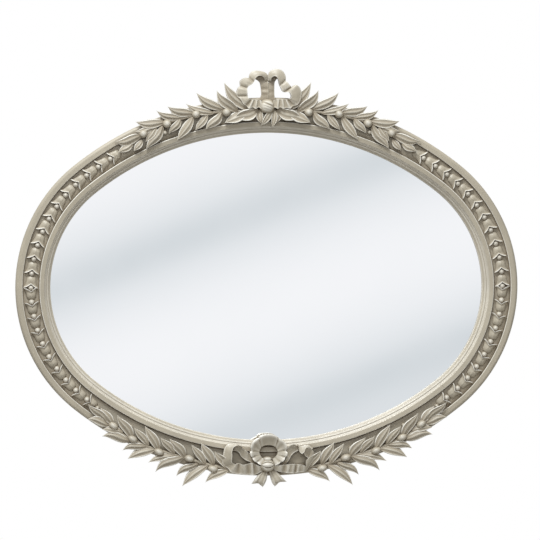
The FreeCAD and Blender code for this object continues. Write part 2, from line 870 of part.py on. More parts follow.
def knot(name, level, inset):
    """The domed knot at the middle of a bow."""
    ball = document.addObject("Part::Ellipsoid", name)
    bind(
        ball,
        Radius1=size("knot_height"),
        Radius2=size("knot_radius"),
        Radius3=size("knot_radius"),
        Placement__Base__y=-(wall_gap + size("rail_height")),
        Placement__Base__z=(half_height - inset) * level,
    )
    ball.Angle1 = 0
    ball.Placement.Rotation = FreeCAD.Rotation(FreeCAD.Vector(1, 0, 0), 90)
    return keep(ball, name)


def ribbon_loop(name, stations, width, height, depth, centre_up):
    """A closed loop of ribbon, flat at the back and crowned along the middle of the ribbon."""
    rings = []
    for (outer_across, outer_up), (inner_across, inner_up) in stations:
        outer = at(outer_across * width, centre_up + outer_up * height)
        inner = at(inner_across * width, centre_up + inner_up * height)
        edge = FreeCAD.Vector(0, -depth * RIBBON_EDGE_SHARE, 0)
        crest = (outer + inner) * 0.5 + FreeCAD.Vector(0, -depth, 0)
        rings.append([outer, outer + edge, crest, inner + edge, inner])
    return feature(name, skin(rings, closed=True))


def both_halves(stations):
    """Stations of the right half of a loop, followed by their mirror images on the left."""
    left = [tuple((-across, up) for across, up in station) for station in reversed(stations[1:])]
    return list(stations) + left


def petals(name, centre_up):
    """Small leaves that fan out below the top knot."""
    length = size("petal_length").number
    pieces = []
    for degrees, share in PETAL_SHARES:
        way = FreeCAD.Vector(math.sin(math.radians(degrees)), 0, -math.cos(math.radians(degrees)))
        root = at(0, centre_up) + way * (length * PETAL_START_SHARE)
        tip = at(0, centre_up) + way * (length * (share + PETAL_START_SHARE))
        pieces.append(leaf(root, tip, size("petal_width").number, size("leaf_height").number))
    pieces += [piece.mirror(FreeCAD.Vector(0, 0, 0), FreeCAD.Vector(1, 0, 0)) for piece in pieces]
    return feature(name, pieces[0].multiFuse(pieces[1:]))


def ribbon_tail(name, centre_up):
    """The right-hand tail of the bottom bow: two lobes that meet along its crest and part at its end."""
    angle = math.radians(TAIL_LEAN_DEGREES)
    down = FreeCAD.Vector(math.sin(angle), 0, -math.cos(angle))
    across = FreeCAD.Vector(math.cos(angle), 0, math.sin(angle))
    length = size("tail_length").number
    half = size("tail_width").number / 2
    start = at(0, centre_up)
    left_rings = [[start] * 3]
    right_rings = [[start] * 3]
    for place, left, middle, right, rise in TAIL_SECTION_SHARES:
        line = start + down * (place * length)
        left_edge, base, right_edge = (line + across * (side * half) for side in (left, middle, right))
        crest = base + FreeCAD.Vector(0, -rise * size("tail_height").number, 0)
        left_rings.append([crest, left_edge, base])
        right_rings.append([crest, right_edge, base])
    left_tip, notch, right_tip = (
        start + down * (place * length) + across * (side * half) for place, side in TAIL_TIP_SHARES
    )
    left_rings.append([notch, left_tip, notch])
    right_rings.append([notch, right_tip, notch])
    return feature(name, skin(left_rings).fuse(skin(right_rings)))


def build_frame():
    """Four timber segments keyed by loose tongues, bored for the screws of the fittings."""
    end_angle = f"{joint_angle.text} * 1 deg"
    flat_angle = f"90 deg - {end_angle}"
    arcs = {
        "right": (end_radius, end_centre, end_angle, 0),
        "top": (flat_radius, -flat_centre, flat_angle, -90),
        "left": (end_radius, end_centre, end_angle, 180),
        "bottom": (flat_radius, -flat_centre, flat_angle, 90),
    }
    corners = {
        "upper_right": (1, 1, ("right", "top")),
        "upper_left": (-1, 1, ("left", "top")),
        "lower_left": (-1, -1, ("left", "bottom")),
        "lower_right": (1, -1, ("right", "bottom")),
    }
    tools = {arc: [] for arc in arcs}
    for corner, (side, level, neighbours) in corners.items():
        place = joint_place(side, level, size("tongue_inset"))
        back = wall_gap + size("tongue_back")
        gap = size("glue_gap")
        tongue = plate(
            "tongue_" + corner, size("tongue_length"), size("tongue_width"), size("tongue_thickness")
        )
        set_place(tongue, place, back)
        keep(tongue, "tongue_" + corner)
        slot = plate(
            "slot_" + corner,
            size("tongue_length") + gap * 2,
            size("tongue_width") + gap * 2,
            size("tongue_thickness") + gap * 2,
        )
        set_place(slot, place, back - gap)
        for arc in neighbours:
            tools[arc].append(slot)
    hole = size("screw_radius") + size("running_gap")
    for arc, places in fixing_places().items():
        for index, place in enumerate(places, start=1):
            tools[arc].append(drill(f"hole_{arc}_{index}", place, hole, size("screw_length"), wall_gap))
    for arc, (radius, centre, half_angle, turn) in arcs.items():
        name = "frame_" + arc
        blank = segment_blank(name, radius, centre, half_angle, turn)
        keep(cut_by(name, blank, tools[arc]), name)


def signed(angle, sign):
    """An angle turned to one side or the other of an arc's middle."""
    return angle * sign


def button_places():
    """Where the turn buttons pivot: two on each arc of the oval."""
    angles = {
        "right": size("end_button_angle"),
        "top": size("flat_button_angle"),
        "left": size("end_button_angle"),
        "bottom": size("flat_button_angle"),
    }
    inset = size("button_inset")
    return {
        arc: [arc_place(arc, signed(angle, sign), inset) for sign in (1, -1)]
        for arc, angle in angles.items()
    }


def hanger_places():
    """Where the straight legs of the hanger rings lie, right then left; both stand upright."""
    angle = size("hanger_angle")
    inset = size("hanger_inset")
    return [arc_place("top", signed(angle, sign), inset)[:2] + (0,) for sign in (1, -1)]


def fixing_places():
    """Every screw that goes into the back of the frame, by the segment that takes it."""
    places = button_places()
    for across, up, turn in hanger_places():
        places["top"] += [(across, up - drop, turn) for drop in hanger_screw_drops()]
    return places


def build_back():
    """Glass, packing and backboard in the rebate, with everything that is screwed to the back."""
    inset = rebate_inset + size("edge_clearance")
    board_front = wall_gap + size("board_thickness")
    packing_front = board_front + size("packing_thickness")
    oval_plate("backboard", inset, size("board_thickness"), wall_gap)
    oval_plate("packing_sheet", inset, size("packing_thickness"), board_front)
    oval_plate("mirror_glass", inset, size("glass_thickness"), packing_front)
    seat = wall_gap - size("button_thickness") - size("running_gap") * 2
    for arc, places in button_places().items():
        for index, place in enumerate(places, start=1):
            turn_button(f"turn_button_{arc}_{index}", place)
            name = f"turn_button_screw_{arc}_{index}"
            keep(screw(name, place, seat), name)
    strap_seat = wall_gap - size("strap_thickness")
    for side, place in zip(("right", "left"), hanger_places()):
        strap_hanger("hanger_strap_" + side, place)
        hanger_ring("hanger_ring_" + side, place)
        across, up, turn = place
        screws = [
            screw(f"hanger_screw_{side}_{index}", (across, up - drop, turn), strap_seat)
            for index, drop in enumerate(hanger_screw_drops(), start=1)
        ]
        keep(group("hanger_screws_" + side, screws), "hanger_screws_" + side)
    angle = size("bumper_angle")
    for arc, side in (("right", "right"), ("left", "left")):
        for level, sign in (("upper", 1), ("lower", -1)):
            place = arc_place(arc, signed(angle, sign), size("bumper_inset"))
            wall_bumper(f"wall_bumper_{level}_{side}", place)


def build_husks():
    """A husk strip in each quarter of the channel and a bead at the middle of each side."""
    first = keep(husk_strip("husk_strip_upper_right", UPPER_HUSKS_SHARE), "husk_strip_upper_right")
    blank = husk_strip("husk_strip_lower_blank", LOWER_HUSKS_SHARE)
    lower = mirrored("husk_strip_lower_right", blank, FreeCAD.Vector(0, 0, 1))
    keep(lower, "husk_strip_lower_right")
    for level, source in (("upper", first), ("lower", lower)):
        name = f"husk_strip_{level}_left"
        keep(mirrored(name, source, FreeCAD.Vector(1, 0, 0)), name)
    side_bead("side_bead_right", 1)
    side_bead("side_bead_left", -1)


def pair(name, source):
    """Keep the right-hand piece and its mirror image on the left."""
    keep(source, name + "_right")
    keep(mirrored(name + "_left", source, FreeCAD.Vector(1, 0, 0)), name + "_left")


def build_top():
    """The top bow with its petals, and the laurel spray on each side of it."""
    centre_up = half_height.number - size("top_knot_inset").number
    top_knot = knot("top_bow_knot", 1, size("top_knot_inset"))
    loop = ribbon_loop(
        "top_loop",
        TOP_LOOP_SHARES,
        size("top_loop_width").number,
        size("top_loop_height").number,
        size("top_loop_depth").number,
        centre_up,
    )
    cut_loop = cut_by("top_bow_loop", loop, [top_knot])
    pair("top_bow_loop", cut_loop)
    fan = petals("top_petals", centre_up)
    left_loop = document.getObject("top_bow_loop_left")
    cut_fan = keep(cut_by("top_bow_petals", fan, [top_knot, cut_loop, left_loop]), "top_bow_petals")
    length = size("top_spray_length").number
    spray = laurel_spray("top_spray", 1, length, TOP_LEAF_SHARES, TOP_BERRY_SHARES, TOP_STEM_SHARES)
    pair("top_laurel", cut_by("top_laurel", spray, [top_knot, cut_loop, cut_fan]))


def build_bottom():
    """The bottom bow with its centre loop and tails, and the laurel spray on each side of it."""
    centre_up = size("bottom_knot_inset").number - half_height.number
    bottom_knot = knot("bottom_bow_knot", -1, size("bottom_knot_inset"))
    centre = ribbon_loop(
        "centre_loop",
        both_halves(CENTRE_LOOP_SHARES),
        size("centre_loop_width").number,
        size("centre_loop_height").number,
        size("centre_loop_depth").number,
        centre_up,
    )
    cut_centre = keep(cut_by("bottom_bow_centre_loop", centre, [bottom_knot]), "bottom_bow_centre_loop")
    side = ribbon_loop(
        "side_loop",
        SIDE_LOOP_SHARES,
        size("side_loop_width").number,
        size("side_loop_height").number,
        size("side_loop_depth").number,
        centre_up,
    )
    cut_side = cut_by("bottom_bow_loop", side, [bottom_knot, cut_centre])
    pair("bottom_bow_loop", cut_side)
    tail = cut_by("bottom_bow_tail", ribbon_tail("tail", centre_up), [bottom_knot, cut_side])
    pair("bottom_bow_tail", tail)
    length = size("bottom_spray_length").number
    spray = laurel_spray(
        "bottom_spray", -1, length, BOTTOM_LEAF_SHARES, BOTTOM_BERRY_SHARES, BOTTOM_STEM_SHARES
    )
    pair("bottom_laurel", cut_by("bottom_laurel", spray, [bottom_knot, cut_side, tail]))


def check_document():
    """Stop if any object failed or any sub-part has no sound shape."""
    for item in document.Objects:
        if "Invalid" in item.State or "Error" in item.State:
            raise RuntimeError(f"{item.Name} failed: {item.State}")
    for item in parts:
        if item.Shape.isNull() or not item.Shape.isValid() or not item.Shape.Solids:
            raise RuntimeError(f"{item.Label} has no sound solid")


build_frame()
build_back()
build_husks()
build_top()
build_bottom()
document.recompute()
check_document()
os.makedirs("parts", exist_ok=True)
for item in parts:
    item.Shape.exportStep(f"parts/{item.Label}.step")
    print(f"{item.Label}: {len(item.Shape.Solids)} solid(s), {item.Shape.Volume / 1000:.2f} cm3")
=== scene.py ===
"""Oval wall mirror in a carved and painted frame: its looks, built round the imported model.

Everything is in metres. The wall is the plane y = 0, the mirror faces -Y and +Z is up.
"""

import logging
import math
from collections.abc import Callable, Sequence
from dataclasses import dataclass, field
from enum import Enum

import bmesh
import bpy
from mathutils import Matrix, Vector


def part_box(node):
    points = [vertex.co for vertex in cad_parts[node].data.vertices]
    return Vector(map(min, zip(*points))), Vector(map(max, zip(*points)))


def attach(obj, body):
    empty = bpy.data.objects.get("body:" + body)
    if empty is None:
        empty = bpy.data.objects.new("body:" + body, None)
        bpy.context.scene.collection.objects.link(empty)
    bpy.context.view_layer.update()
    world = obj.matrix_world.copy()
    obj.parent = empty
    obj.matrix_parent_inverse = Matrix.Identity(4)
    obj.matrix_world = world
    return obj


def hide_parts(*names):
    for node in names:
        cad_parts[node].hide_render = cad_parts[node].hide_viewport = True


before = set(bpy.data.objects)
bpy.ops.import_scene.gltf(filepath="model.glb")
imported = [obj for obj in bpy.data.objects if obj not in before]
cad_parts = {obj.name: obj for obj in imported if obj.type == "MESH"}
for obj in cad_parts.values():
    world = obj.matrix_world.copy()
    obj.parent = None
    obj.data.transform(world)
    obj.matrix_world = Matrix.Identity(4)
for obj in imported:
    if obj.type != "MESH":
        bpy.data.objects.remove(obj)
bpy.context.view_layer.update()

log = logging.getLogger("mirror")

MM = 0.001
ROOT_BODY = "mirror"

Grid = list[list[Vector]]
Values = list[list[float]]
Row = tuple[float, ...]
Colour = tuple[float, float, float, float]

MERGE_REACH = 0.002 * MM
RELIEF = "relief"
# Relief of every slab's hidden face: undersides are painted darker, as painted shade.
SHADED_UNDERSIDE_RELIEF = -0.4
SOFT_CREASE = 50.0
SHARP_CREASE = 62.0
WHITE: Colour = (1.0, 1.0, 1.0, 1.0)


class Side(Enum):
    """The two sides of the mirror, as seen from the room."""

    LEFT = -1
    RIGHT = 1


class Level(Enum):
    """The two ends of the upright axis."""

    TOP = 1
    BOTTOM = -1


class Arc(Enum):
    """The four arcs of the oval and the direction, in degrees, in which each one's middle lies."""

    RIGHT = 0
    TOP = 90
    LEFT = 180
    BOTTOM = 270


def smooth_step(value: float) -> float:
    """A soft ramp from 0 to 1, level at both ends."""
    share = min(1.0, max(0.0, value))
    return share * share * (3.0 - 2.0 * share)


def bump_at(value: float, place: float, width: float) -> float:
    """A soft bump of height 1 at a place, with the given half width."""
    return math.exp(-(((value - place) / width) ** 2))


def spline(points: Sequence[Sequence[float]], steps: int) -> list[list[float]]:
    """A smooth curve through rows of numbers.

    Args:
        points: The rows that the curve passes through.
        steps: How many pieces each span is cut into.

    Returns:
        The rows along the curve, both ends included.
    """
    rows = []
    last = len(points) - 1
    for index in range(last):
        four = [points[max(0, index - 1)], points[index], points[index + 1], points[min(last, index + 2)]]
        for step in range(steps):
            t = step / steps
            row = [
                0.5
                * (
                    2 * b
                    + (c - a) * t
                    + (2 * a - 5 * b + 4 * c - d) * t * t
                    + (3 * b - a - 3 * c + d) * t**3
                )
                for a, b, c, d in zip(*four)
            ]
            rows.append(row)
    rows.append(list(points[last]))
    return rows


def ellipse(centre: Vector, across: Vector, up: Vector, count: int) -> list[Vector]:
    """A ring of points round a centre, given by its two half axes."""
    turns = [math.tau * index / count for index in range(count)]
    return [centre + across * math.cos(turn) + up * math.sin(turn) for turn in turns]


def toned(colour: Colour, factor: float) -> Colour:
    """The colour made lighter or darker by a factor."""
    return (*(min(1.0, channel * factor) for channel in colour[:3]), 1.0)


@dataclass
class Carving:
    """Closed shells gathered into one mesh, with how far each point stands proud as an attribute."""

    vertices: list[Vector] = field(default_factory=list)
    faces: list[tuple[int, ...]] = field(default_factory=list)
    relief: list[float] = field(default_factory=list)

    def slab(self, top: Grid, bottom: Grid, relief: Values) -> None:
        """Adds a closed slab between two grids of points.

        Args:
            top: Rows of points of the seen face.
            bottom: Rows of points of the hidden face, as many as on top.
            relief: How far each point of the top stands proud, from -1 in a recess, which the paint darkens
                as painted shade, to 1 on an edge, which it makes pale as wear and as painted highlight.
        """
        start = len(self.vertices)
        rows, columns = len(top), len(top[0])
        under = start + rows * columns
        for grid in (top, bottom):
            for row in grid:
                self.vertices.extend(row)
        for row in relief:
            self.relief.extend(row)
        self.relief.extend([SHADED_UNDERSIDE_RELIEF] * (rows * columns))
        for i in range(rows - 1):
            for j in range(columns - 1):
                a = i * columns + j
                quad = (a, a + 1, a + columns + 1, a + columns)
                self.faces.append(tuple(start + k for k in quad))
                self.faces.append(tuple(under + k for k in reversed(quad)))
        border = [i * columns for i in range(rows)]
        border += [(rows - 1) * columns + j for j in range(1, columns)]
        border += [i * columns + columns - 1 for i in range(rows - 2, -1, -1)]
        border += list(range(columns - 2, 0, -1))
        for here, there in zip(border, border[1:] + border[:1]):
            self.faces.append((start + here, start + there, under + there, under + here))

    def tube(self, rings: Sequence[Sequence[Vector]], relief: Sequence[float]) -> None:
        """Adds a closed tube through rings of points, capped at both ends.

        Args:
            rings: Rings of equally many points.
            relief: How far each ring stands proud.
        """
        start = len(self.vertices)
        count = len(rings[0])
        for ring, value in zip(rings, relief):
            self.vertices.extend(ring)
            self.relief.extend([value] * count)
        for i in range(len(rings) - 1):
            for j in range(count):
                a, b = start + i * count + j, start + i * count + (j + 1) % count
                self.faces.append((a, b, b + count, a + count))
        self.faces.append(tuple(start + j for j in reversed(range(count))))
        self.faces.append(tuple(start + (len(rings) - 1) * count + j for j in range(count)))

    def piece(self, name: str, crease: float = SOFT_CREASE) -> bpy.types.Object:
        """The shells as one object, merged, turned outwards and smoothed.

        Args:
            name: The object's name.
            crease: The angle in degrees past which an edge stays sharp.

        Returns:
            The object, at the origin.
        """
        mesh = bpy.data.meshes.new(name)
        mesh.from_pydata(self.vertices, [], self.faces)
        add_relief(mesh, self.relief)
        return settle(place_mesh(name, mesh), crease)


def add_relief(mesh: bpy.types.Mesh, relief: Sequence[float]) -> None:
    """Gives the mesh's points the attribute that the paint reads."""
    mesh.attributes.new(RELIEF, "FLOAT", "POINT").data.foreach_set("value", relief)


def place_mesh(name: str, mesh: bpy.types.Mesh) -> bpy.types.Object:
    """Puts a mesh in the scene.

    Args:
        name: The new object's name.
        mesh: Its mesh.

    Returns:
        The object, at the origin.
    """
    obj = bpy.data.objects.new(name, mesh)
    bpy.context.scene.collection.objects.link(obj)
    return obj


def settle(obj: bpy.types.Object, crease: float) -> bpy.types.Object:
    """Merges doubles, turns every face outwards and shades the mesh smooth but for its creases.

    Args:
        obj: The object whose mesh is finished.
        crease: The angle in degrees past which an edge stays sharp.

    Returns:
        The same object.
    """
    work = bmesh.new()
    work.from_mesh(obj.data)
    bmesh.ops.remove_doubles(work, verts=work.verts, dist=MERGE_REACH)
    bmesh.ops.dissolve_degenerate(work, edges=work.edges, dist=MERGE_REACH / 2)
    bmesh.ops.recalc_face_normals(work, faces=work.faces)
    for face in work.faces:
        face.smooth = True
    work.to_mesh(obj.data)
    work.free()
    obj.data.set_sharp_from_angle(angle=math.radians(crease))
    return obj


def mirrored(obj: bpy.types.Object, name: str, scale: tuple[float, float, float]) -> bpy.types.Object:
    """A mirrored copy of a piece, with its place in its mesh and its faces turned outwards.

    Args:
        obj: The piece to copy.
        name: The copy's name.
        scale: 1 or -1 for each axis.

    Returns:
        The copy, at the origin.
    """
    mesh = obj.data.copy()
    mesh.name = name
    mesh.transform(Matrix.Diagonal((*scale, 1.0)))
    if scale[0] * scale[1] * scale[2] < 0:
        mesh.flip_normals()
    return place_mesh(name, mesh)


def join(name: str, parts: Sequence[bpy.types.Object]) -> bpy.types.Object:
    """Several objects' meshes in one new object, and the parts removed.

    Args:
        name: The new object's name.
        parts: Objects at the origin.

    Returns:
        The joined object.
    """
    work = bmesh.new()
    for part in parts:
        work.from_mesh(part.data)
    mesh = bpy.data.meshes.new(name)
    work.to_mesh(mesh)
    work.free()
    for part in parts:
        bpy.data.objects.remove(part)
    return place_mesh(name, mesh)


def dress(piece: bpy.types.Object, *materials: bpy.types.Material) -> None:
    """Gives a piece its finishes, in place of any that it has.

    Args:
        piece: The piece.
        materials: Its finishes, in the order of their slots.
    """
    piece.data.materials.clear()
    for material in materials:
        piece.data.materials.append(material)


def hand_over(piece: bpy.types.Object, node: str) -> None:
    """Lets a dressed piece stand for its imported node.

    Args:
        piece: The piece, in place.
        node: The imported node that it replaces.
    """
    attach(piece, ROOT_BODY)
    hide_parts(node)
    log.info("%s: %d faces", piece.name, len(piece.data.polygons))


def finish_casting(piece: bpy.types.Object, paint: bpy.types.Material, node: str) -> None:
    """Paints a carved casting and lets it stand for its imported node."""
    dress(piece, paint)
    hand_over(piece, node)


class NodeTree:
    """A node tree, with short ways to add nodes and sums."""

    def __init__(self, tree: bpy.types.NodeTree) -> None:
        """Takes the tree that it works on."""
        self.tree = tree

    def plug(self, value: object, socket: bpy.types.NodeSocket) -> None:
        """Links or sets an input socket.

        Args:
            value: The socket to link from, or the value to set.
            socket: The input.
        """
        if isinstance(value, bpy.types.NodeSocket):
            self.tree.links.new(value, socket)
        else:
            socket.default_value = value

    def node(
        self, kind: str, sockets: dict[str | int, object] | None = None, **settings: object
    ) -> bpy.types.Node:
        """Adds a node.

        Args:
            kind: The node's type.
            sockets: What each input, by its name or its place, is linked or set to.
            settings: The node's own properties.

        Returns:
            The node.
        """
        node = self.tree.nodes.new(kind)
        for name, value in settings.items():
            setattr(node, name, value)
        for key, value in (sockets or {}).items():
            inputs = [socket for socket in node.inputs if socket.name == key and socket.enabled]
            self.plug(value, node.inputs[key] if isinstance(key, int) else inputs[0])
        return node

    def math(
        self, operation: str, first: object, second: object, clamp: bool = False
    ) -> bpy.types.NodeSocket:
        """One sum on two values.

        Args:
            operation: The sum's name.
            first: A value or a socket.
            second: A value or a socket.
            clamp: Whether the result is held between 0 and 1.

        Returns:
            The result.
        """
        sockets = {0: first, 1: second}
        return self.node("ShaderNodeMath", sockets, operation=operation, use_clamp=clamp).outputs[0]

    def span(
        self, value: bpy.types.NodeSocket, low: float, high: float, to_low: float, to_high: float
    ) -> bpy.types.NodeSocket:
        """Moves a value from one range to another and holds it within that.

        Args:
            value: The value.
            low: Where the first range begins.
            high: Where it ends.
            to_low: Where the second range begins.
            to_high: Where it ends.

        Returns:
            The moved value.
        """
        sockets = {"Value": value, "From Min": low, "From Max": high, "To Min": to_low, "To Max": to_high}
        return self.node("ShaderNodeMapRange", sockets).outputs["Result"]


class GeometryTree(NodeTree):
    """A Geometry Nodes tree with named inputs, put to work on one object at a time."""

    def __init__(self, name: str) -> None:
        """Starts an empty tree with a way in and a way out for geometry.

        Args:
            name: The tree's name.
        """
        super().__init__(bpy.data.node_groups.new(name, "GeometryNodeTree"))
        self.tree.is_modifier = True
        self.entries: dict[str, str] = {}
        self.way_in = self.node("NodeGroupInput")
        self.way_out = self.node("NodeGroupOutput")
        self.geometry = self.entry("Geometry", "NodeSocketGeometry")
        self.tree.interface.new_socket("Geometry", in_out="OUTPUT", socket_type="NodeSocketGeometry")

    def entry(self, name: str, kind: str) -> bpy.types.NodeSocket:
        """Adds a named input.

        Args:
            name: The input's name.
            kind: Its socket type.

        Returns:
            The socket that gives its value inside the tree.
        """
        item = self.tree.interface.new_socket(name, in_out="INPUT", socket_type=kind)
        self.entries[name] = item.identifier
        return self.way_in.outputs[name]

    def finish(self, socket: bpy.types.NodeSocket, material: bpy.types.Material) -> None:
        """Ends the tree: instances made real, the material set.

        Args:
            socket: The geometry that the tree made.
            material: Its finish.
        """
        real = self.node("GeometryNodeRealizeInstances", {"Geometry": socket})
        dressed = self.node("GeometryNodeSetMaterial", {"Geometry": real.outputs[0], "Material": material})
        self.plug(dressed.outputs[0], self.way_out.inputs[0])

    def grow(self, obj: bpy.types.Object, **values: object) -> bpy.types.Object:
        """Turns what the tree makes of an object into that object's plain mesh.

        Args:
            obj: The object that gives the tree its geometry.
            values: The inputs, by name with underscores for spaces.

        Returns:
            The same object, without a modifier.
        """
        modifier = obj.modifiers.new(self.tree.name, "NODES")
        modifier.node_group = self.tree
        for name, value in values.items():
            modifier[self.entries[name.replace("_", " ")]] = value
        graph = bpy.context.evaluated_depsgraph_get()
        graph.update()
        mesh = bpy.data.meshes.new_from_object(
            obj.evaluated_get(graph), preserve_all_data_layers=True, depsgraph=graph
        )
        obj.modifiers.clear()
        mesh.name = obj.name
        obj.data = mesh
        return obj


class Shader(NodeTree):
    """A material's node tree, with short ways to add what the finishes share."""

    def __init__(self, name: str) -> None:
        """Starts a material with a principled shader.

        Args:
            name: The material's name.
        """
        self.material = bpy.data.materials.new(name)
        self.material.use_nodes = True
        super().__init__(self.material.node_tree)
        self.shader = self.tree.nodes["Principled BSDF"]
        self.coordinates = self.node("ShaderNodeTexCoord").outputs["Object"]

    def stretched(self, x: float, y: float, z: float) -> bpy.types.NodeSocket:
        """Object coordinates scaled by an amount for each axis."""
        return self.node("ShaderNodeMapping", {"Vector": self.coordinates, "Scale": (x, y, z)}).outputs[0]

    def noise(
        self, scale: float, detail: float = 3.0, place: bpy.types.NodeSocket | None = None
    ) -> bpy.types.NodeSocket:
        """Noise from 0 to 1.

        Args:
            scale: How many times it repeats in a metre.
            detail: How many finer layers it has.
            place: Coordinates, if not the object's own.

        Returns:
            The noise's value.
        """
        sockets = {"Vector": place or self.coordinates, "Scale": scale, "Detail": detail}
        return self.node("ShaderNodeTexNoise", sockets).outputs["Fac"]

    def mix(self, share: object, first: object, second: object) -> bpy.types.NodeSocket:
        """Two colours mixed by a share."""
        return self.node("ShaderNodeMix", {0: share, 6: first, 7: second}, data_type="RGBA").outputs[2]

    def bump(
        self, height: bpy.types.NodeSocket, depth: float, after: bpy.types.NodeSocket | None = None
    ) -> bpy.types.NodeSocket:
        """A bumped normal.

        Args:
            height: The height, from 0 to 1.
            depth: What a height of 1 stands for, in metres.
            after: A normal to add to.

        Returns:
            The normal.
        """
        node = self.node("ShaderNodeBump", {"Strength": 1.0, "Distance": depth, "Height": height})
        if after:
            self.plug(after, node.inputs["Normal"])
        return node.outputs[0]

    def dress(self, **values: object) -> bpy.types.Material:
        """Links or sets the shader's inputs and ends the material.

        Args:
            values: The inputs, by name with underscores for spaces.

        Returns:
            The material.
        """
        for name, value in values.items():
            self.plug(value, self.shader.inputs[name.replace("_", " ")])
        return self.material


@dataclass(frozen=True)
class AntiquePaint:
    """Soft greige paint, darker in the recesses from glazing and from painted shade, and paler along the
    edges from wear and from painted highlight.

    A place is a recess where it sees little of what lies within recess_reach round it: glaze_and_shade
    begins at open_view and is full at closed_view, as shares of the whole view.
    """

    name: str = "antique_paint"
    base: Colour = (0.408, 0.361, 0.284, 1.0)
    glaze_and_shade: Colour = (0.185, 0.134, 0.083, 1.0)
    rubbed_and_highlight: Colour = (0.85, 0.815, 0.755, 1.0)
    recess_reach: float = 10 * MM
    open_view: float = 0.90
    closed_view: float = 0.08
    roughness: float = 0.42
    sheen: float = 0.42
    brush_depth: float = 0.06 * MM
    grain_depth: float = 0.03 * MM

    def material(self) -> bpy.types.Material:
        """Builds the finish.

        Returns:
            A material that reads how proud the surface stands from the attribute relief.
        """
        paint = Shader(self.name)
        relief = paint.node("ShaderNodeAttribute", attribute_name=RELIEF).outputs["Fac"]
        view = paint.node("ShaderNodeAmbientOcclusion", {"Distance": self.recess_reach}, samples=8)
        cloud = paint.noise(14.0, 4.0)
        patch = paint.noise(60.0, 5.0)
        grain = paint.noise(900.0, 3.0)
        # Painted shade: closed-in places, found by the ambient-occlusion node, and points of negative relief
        # are mixed towards glaze_and_shade, which stands for pooled glaze and for shade.
        hidden = paint.span(view.outputs["AO"], self.open_view, self.closed_view, 0.0, 1.0)
        sunk_shade = paint.span(relief, 0.0, -1.0, 0.0, 0.85)
        uneven = paint.span(patch, 0.3, 0.7, 0.75, 1.15)
        glaze_and_shade_share = paint.math("MULTIPLY", paint.math("MAXIMUM", hidden, sunk_shade), uneven, clamp=True)
        # Painted highlight: points of positive relief are mixed towards rubbed_and_highlight, which stands
        # for paint abraded from the edges and for the light that they catch.
        worn_and_highlight = paint.span(relief, 0.1, 1.0, 0.0, 1.0)
        worn_and_highlight = paint.math("MULTIPLY", worn_and_highlight, paint.span(patch, 0.25, 0.65, 0.55, 1.0), clamp=True)
        clouded = paint.span(cloud, 0.3, 0.7, 0.0, 1.0)
        ground = paint.mix(clouded, toned(self.base, 0.90), toned(self.base, 1.09))
        colour = paint.mix(worn_and_highlight, paint.mix(glaze_and_shade_share, ground, self.glaze_and_shade), self.rubbed_and_highlight)
        roughness = paint.math("ADD", paint.span(grain, 0.3, 0.7, -0.05, 0.07), self.roughness)
        roughness = paint.math("ADD", roughness, paint.math("MULTIPLY", glaze_and_shade_share, 0.2))
        brushed = paint.bump(paint.noise(320.0, 4.0), self.brush_depth)
        normal = paint.bump(grain, self.grain_depth, brushed)
        return paint.dress(
            Base_Color=colour, Roughness=roughness, Specular_IOR_Level=self.sheen, Normal=normal
        )


@dataclass(frozen=True)
class SilveredGlass:
    """Plain flat looking-glass."""

    name: str = "silvered_glass"
    tint: Colour = (0.955, 0.965, 0.97, 1.0)
    edge_tint: Colour = (0.62, 0.72, 0.68, 1.0)

    def material(self) -> bpy.types.Material:
        """Builds the finish.

        Returns:
            A clean reflection, with a faint haze and a greener edge.
        """
        glass = Shader(self.name)
        haze = glass.span(glass.noise(6.0, 3.0), 0.3, 0.7, 0.015, 0.03)
        normal = glass.node("ShaderNodeNewGeometry").outputs["True Normal"]
        facing = glass.node("ShaderNodeSeparateXYZ", {0: normal}).outputs["Y"]
        front = glass.span(glass.math("MULTIPLY", facing, -1.0), 0.4, 0.6, 0.0, 1.0)
        colour = glass.mix(front, self.edge_tint, self.tint)
        return glass.dress(Base_Color=colour, Roughness=haze, Metallic=front)


@dataclass(frozen=True)
class BareTimber:
    """Unpainted timber at the frame's back, with long grain and fine pores."""

    name: str = "bare_timber"
    pale: Colour = (0.52, 0.36, 0.215, 1.0)
    dark: Colour = (0.33, 0.205, 0.11, 1.0)
    pore_depth: float = 0.08 * MM
    roughness: float = 0.68

    def material(self) -> bpy.types.Material:
        """Builds the finish.

        Returns:
            Long grain, fine pores and a little bump.
        """
        timber = Shader(self.name)
        rings = timber.noise(5.0, 5.0, timber.stretched(1.0, 4.0, 14.0))
        pores = timber.noise(60.0, 4.0, timber.stretched(1.0, 10.0, 22.0))
        colour = timber.mix(timber.span(rings, 0.3, 0.7, 0.0, 1.0), self.pale, self.dark)
        colour = timber.mix(timber.span(pores, 0.55, 0.8, 0.0, 0.5), colour, self.dark)
        normal = timber.bump(pores, self.pore_depth)
        return timber.dress(Base_Color=colour, Roughness=self.roughness, Normal=normal)


@dataclass(frozen=True)
class SheetStock:
    """A dull sheet: pressed fibre board, felt, rubber or ply, told apart by colour, speck and bump."""

    name: str
    pale: Colour
    dark: Colour
    speck: float
    depth: float
    roughness: float

    def material(self) -> bpy.types.Material:
        """Builds the finish.

        Returns:
            Fine specks over a slow change of tone.
        """
        sheet = Shader(self.name)
        specks = sheet.noise(self.speck, 4.0)
        speckled = sheet.span(specks, 0.3, 0.7, 0.0, 0.7)
        slow = sheet.span(sheet.noise(9.0, 3.0), 0.3, 0.7, 0.0, 0.3)
        colour = sheet.mix(sheet.math("ADD", speckled, slow), self.pale, self.dark)
        normal = sheet.bump(specks, self.depth)
        return sheet.dress(Base_Color=colour, Roughness=self.roughness, Normal=normal)


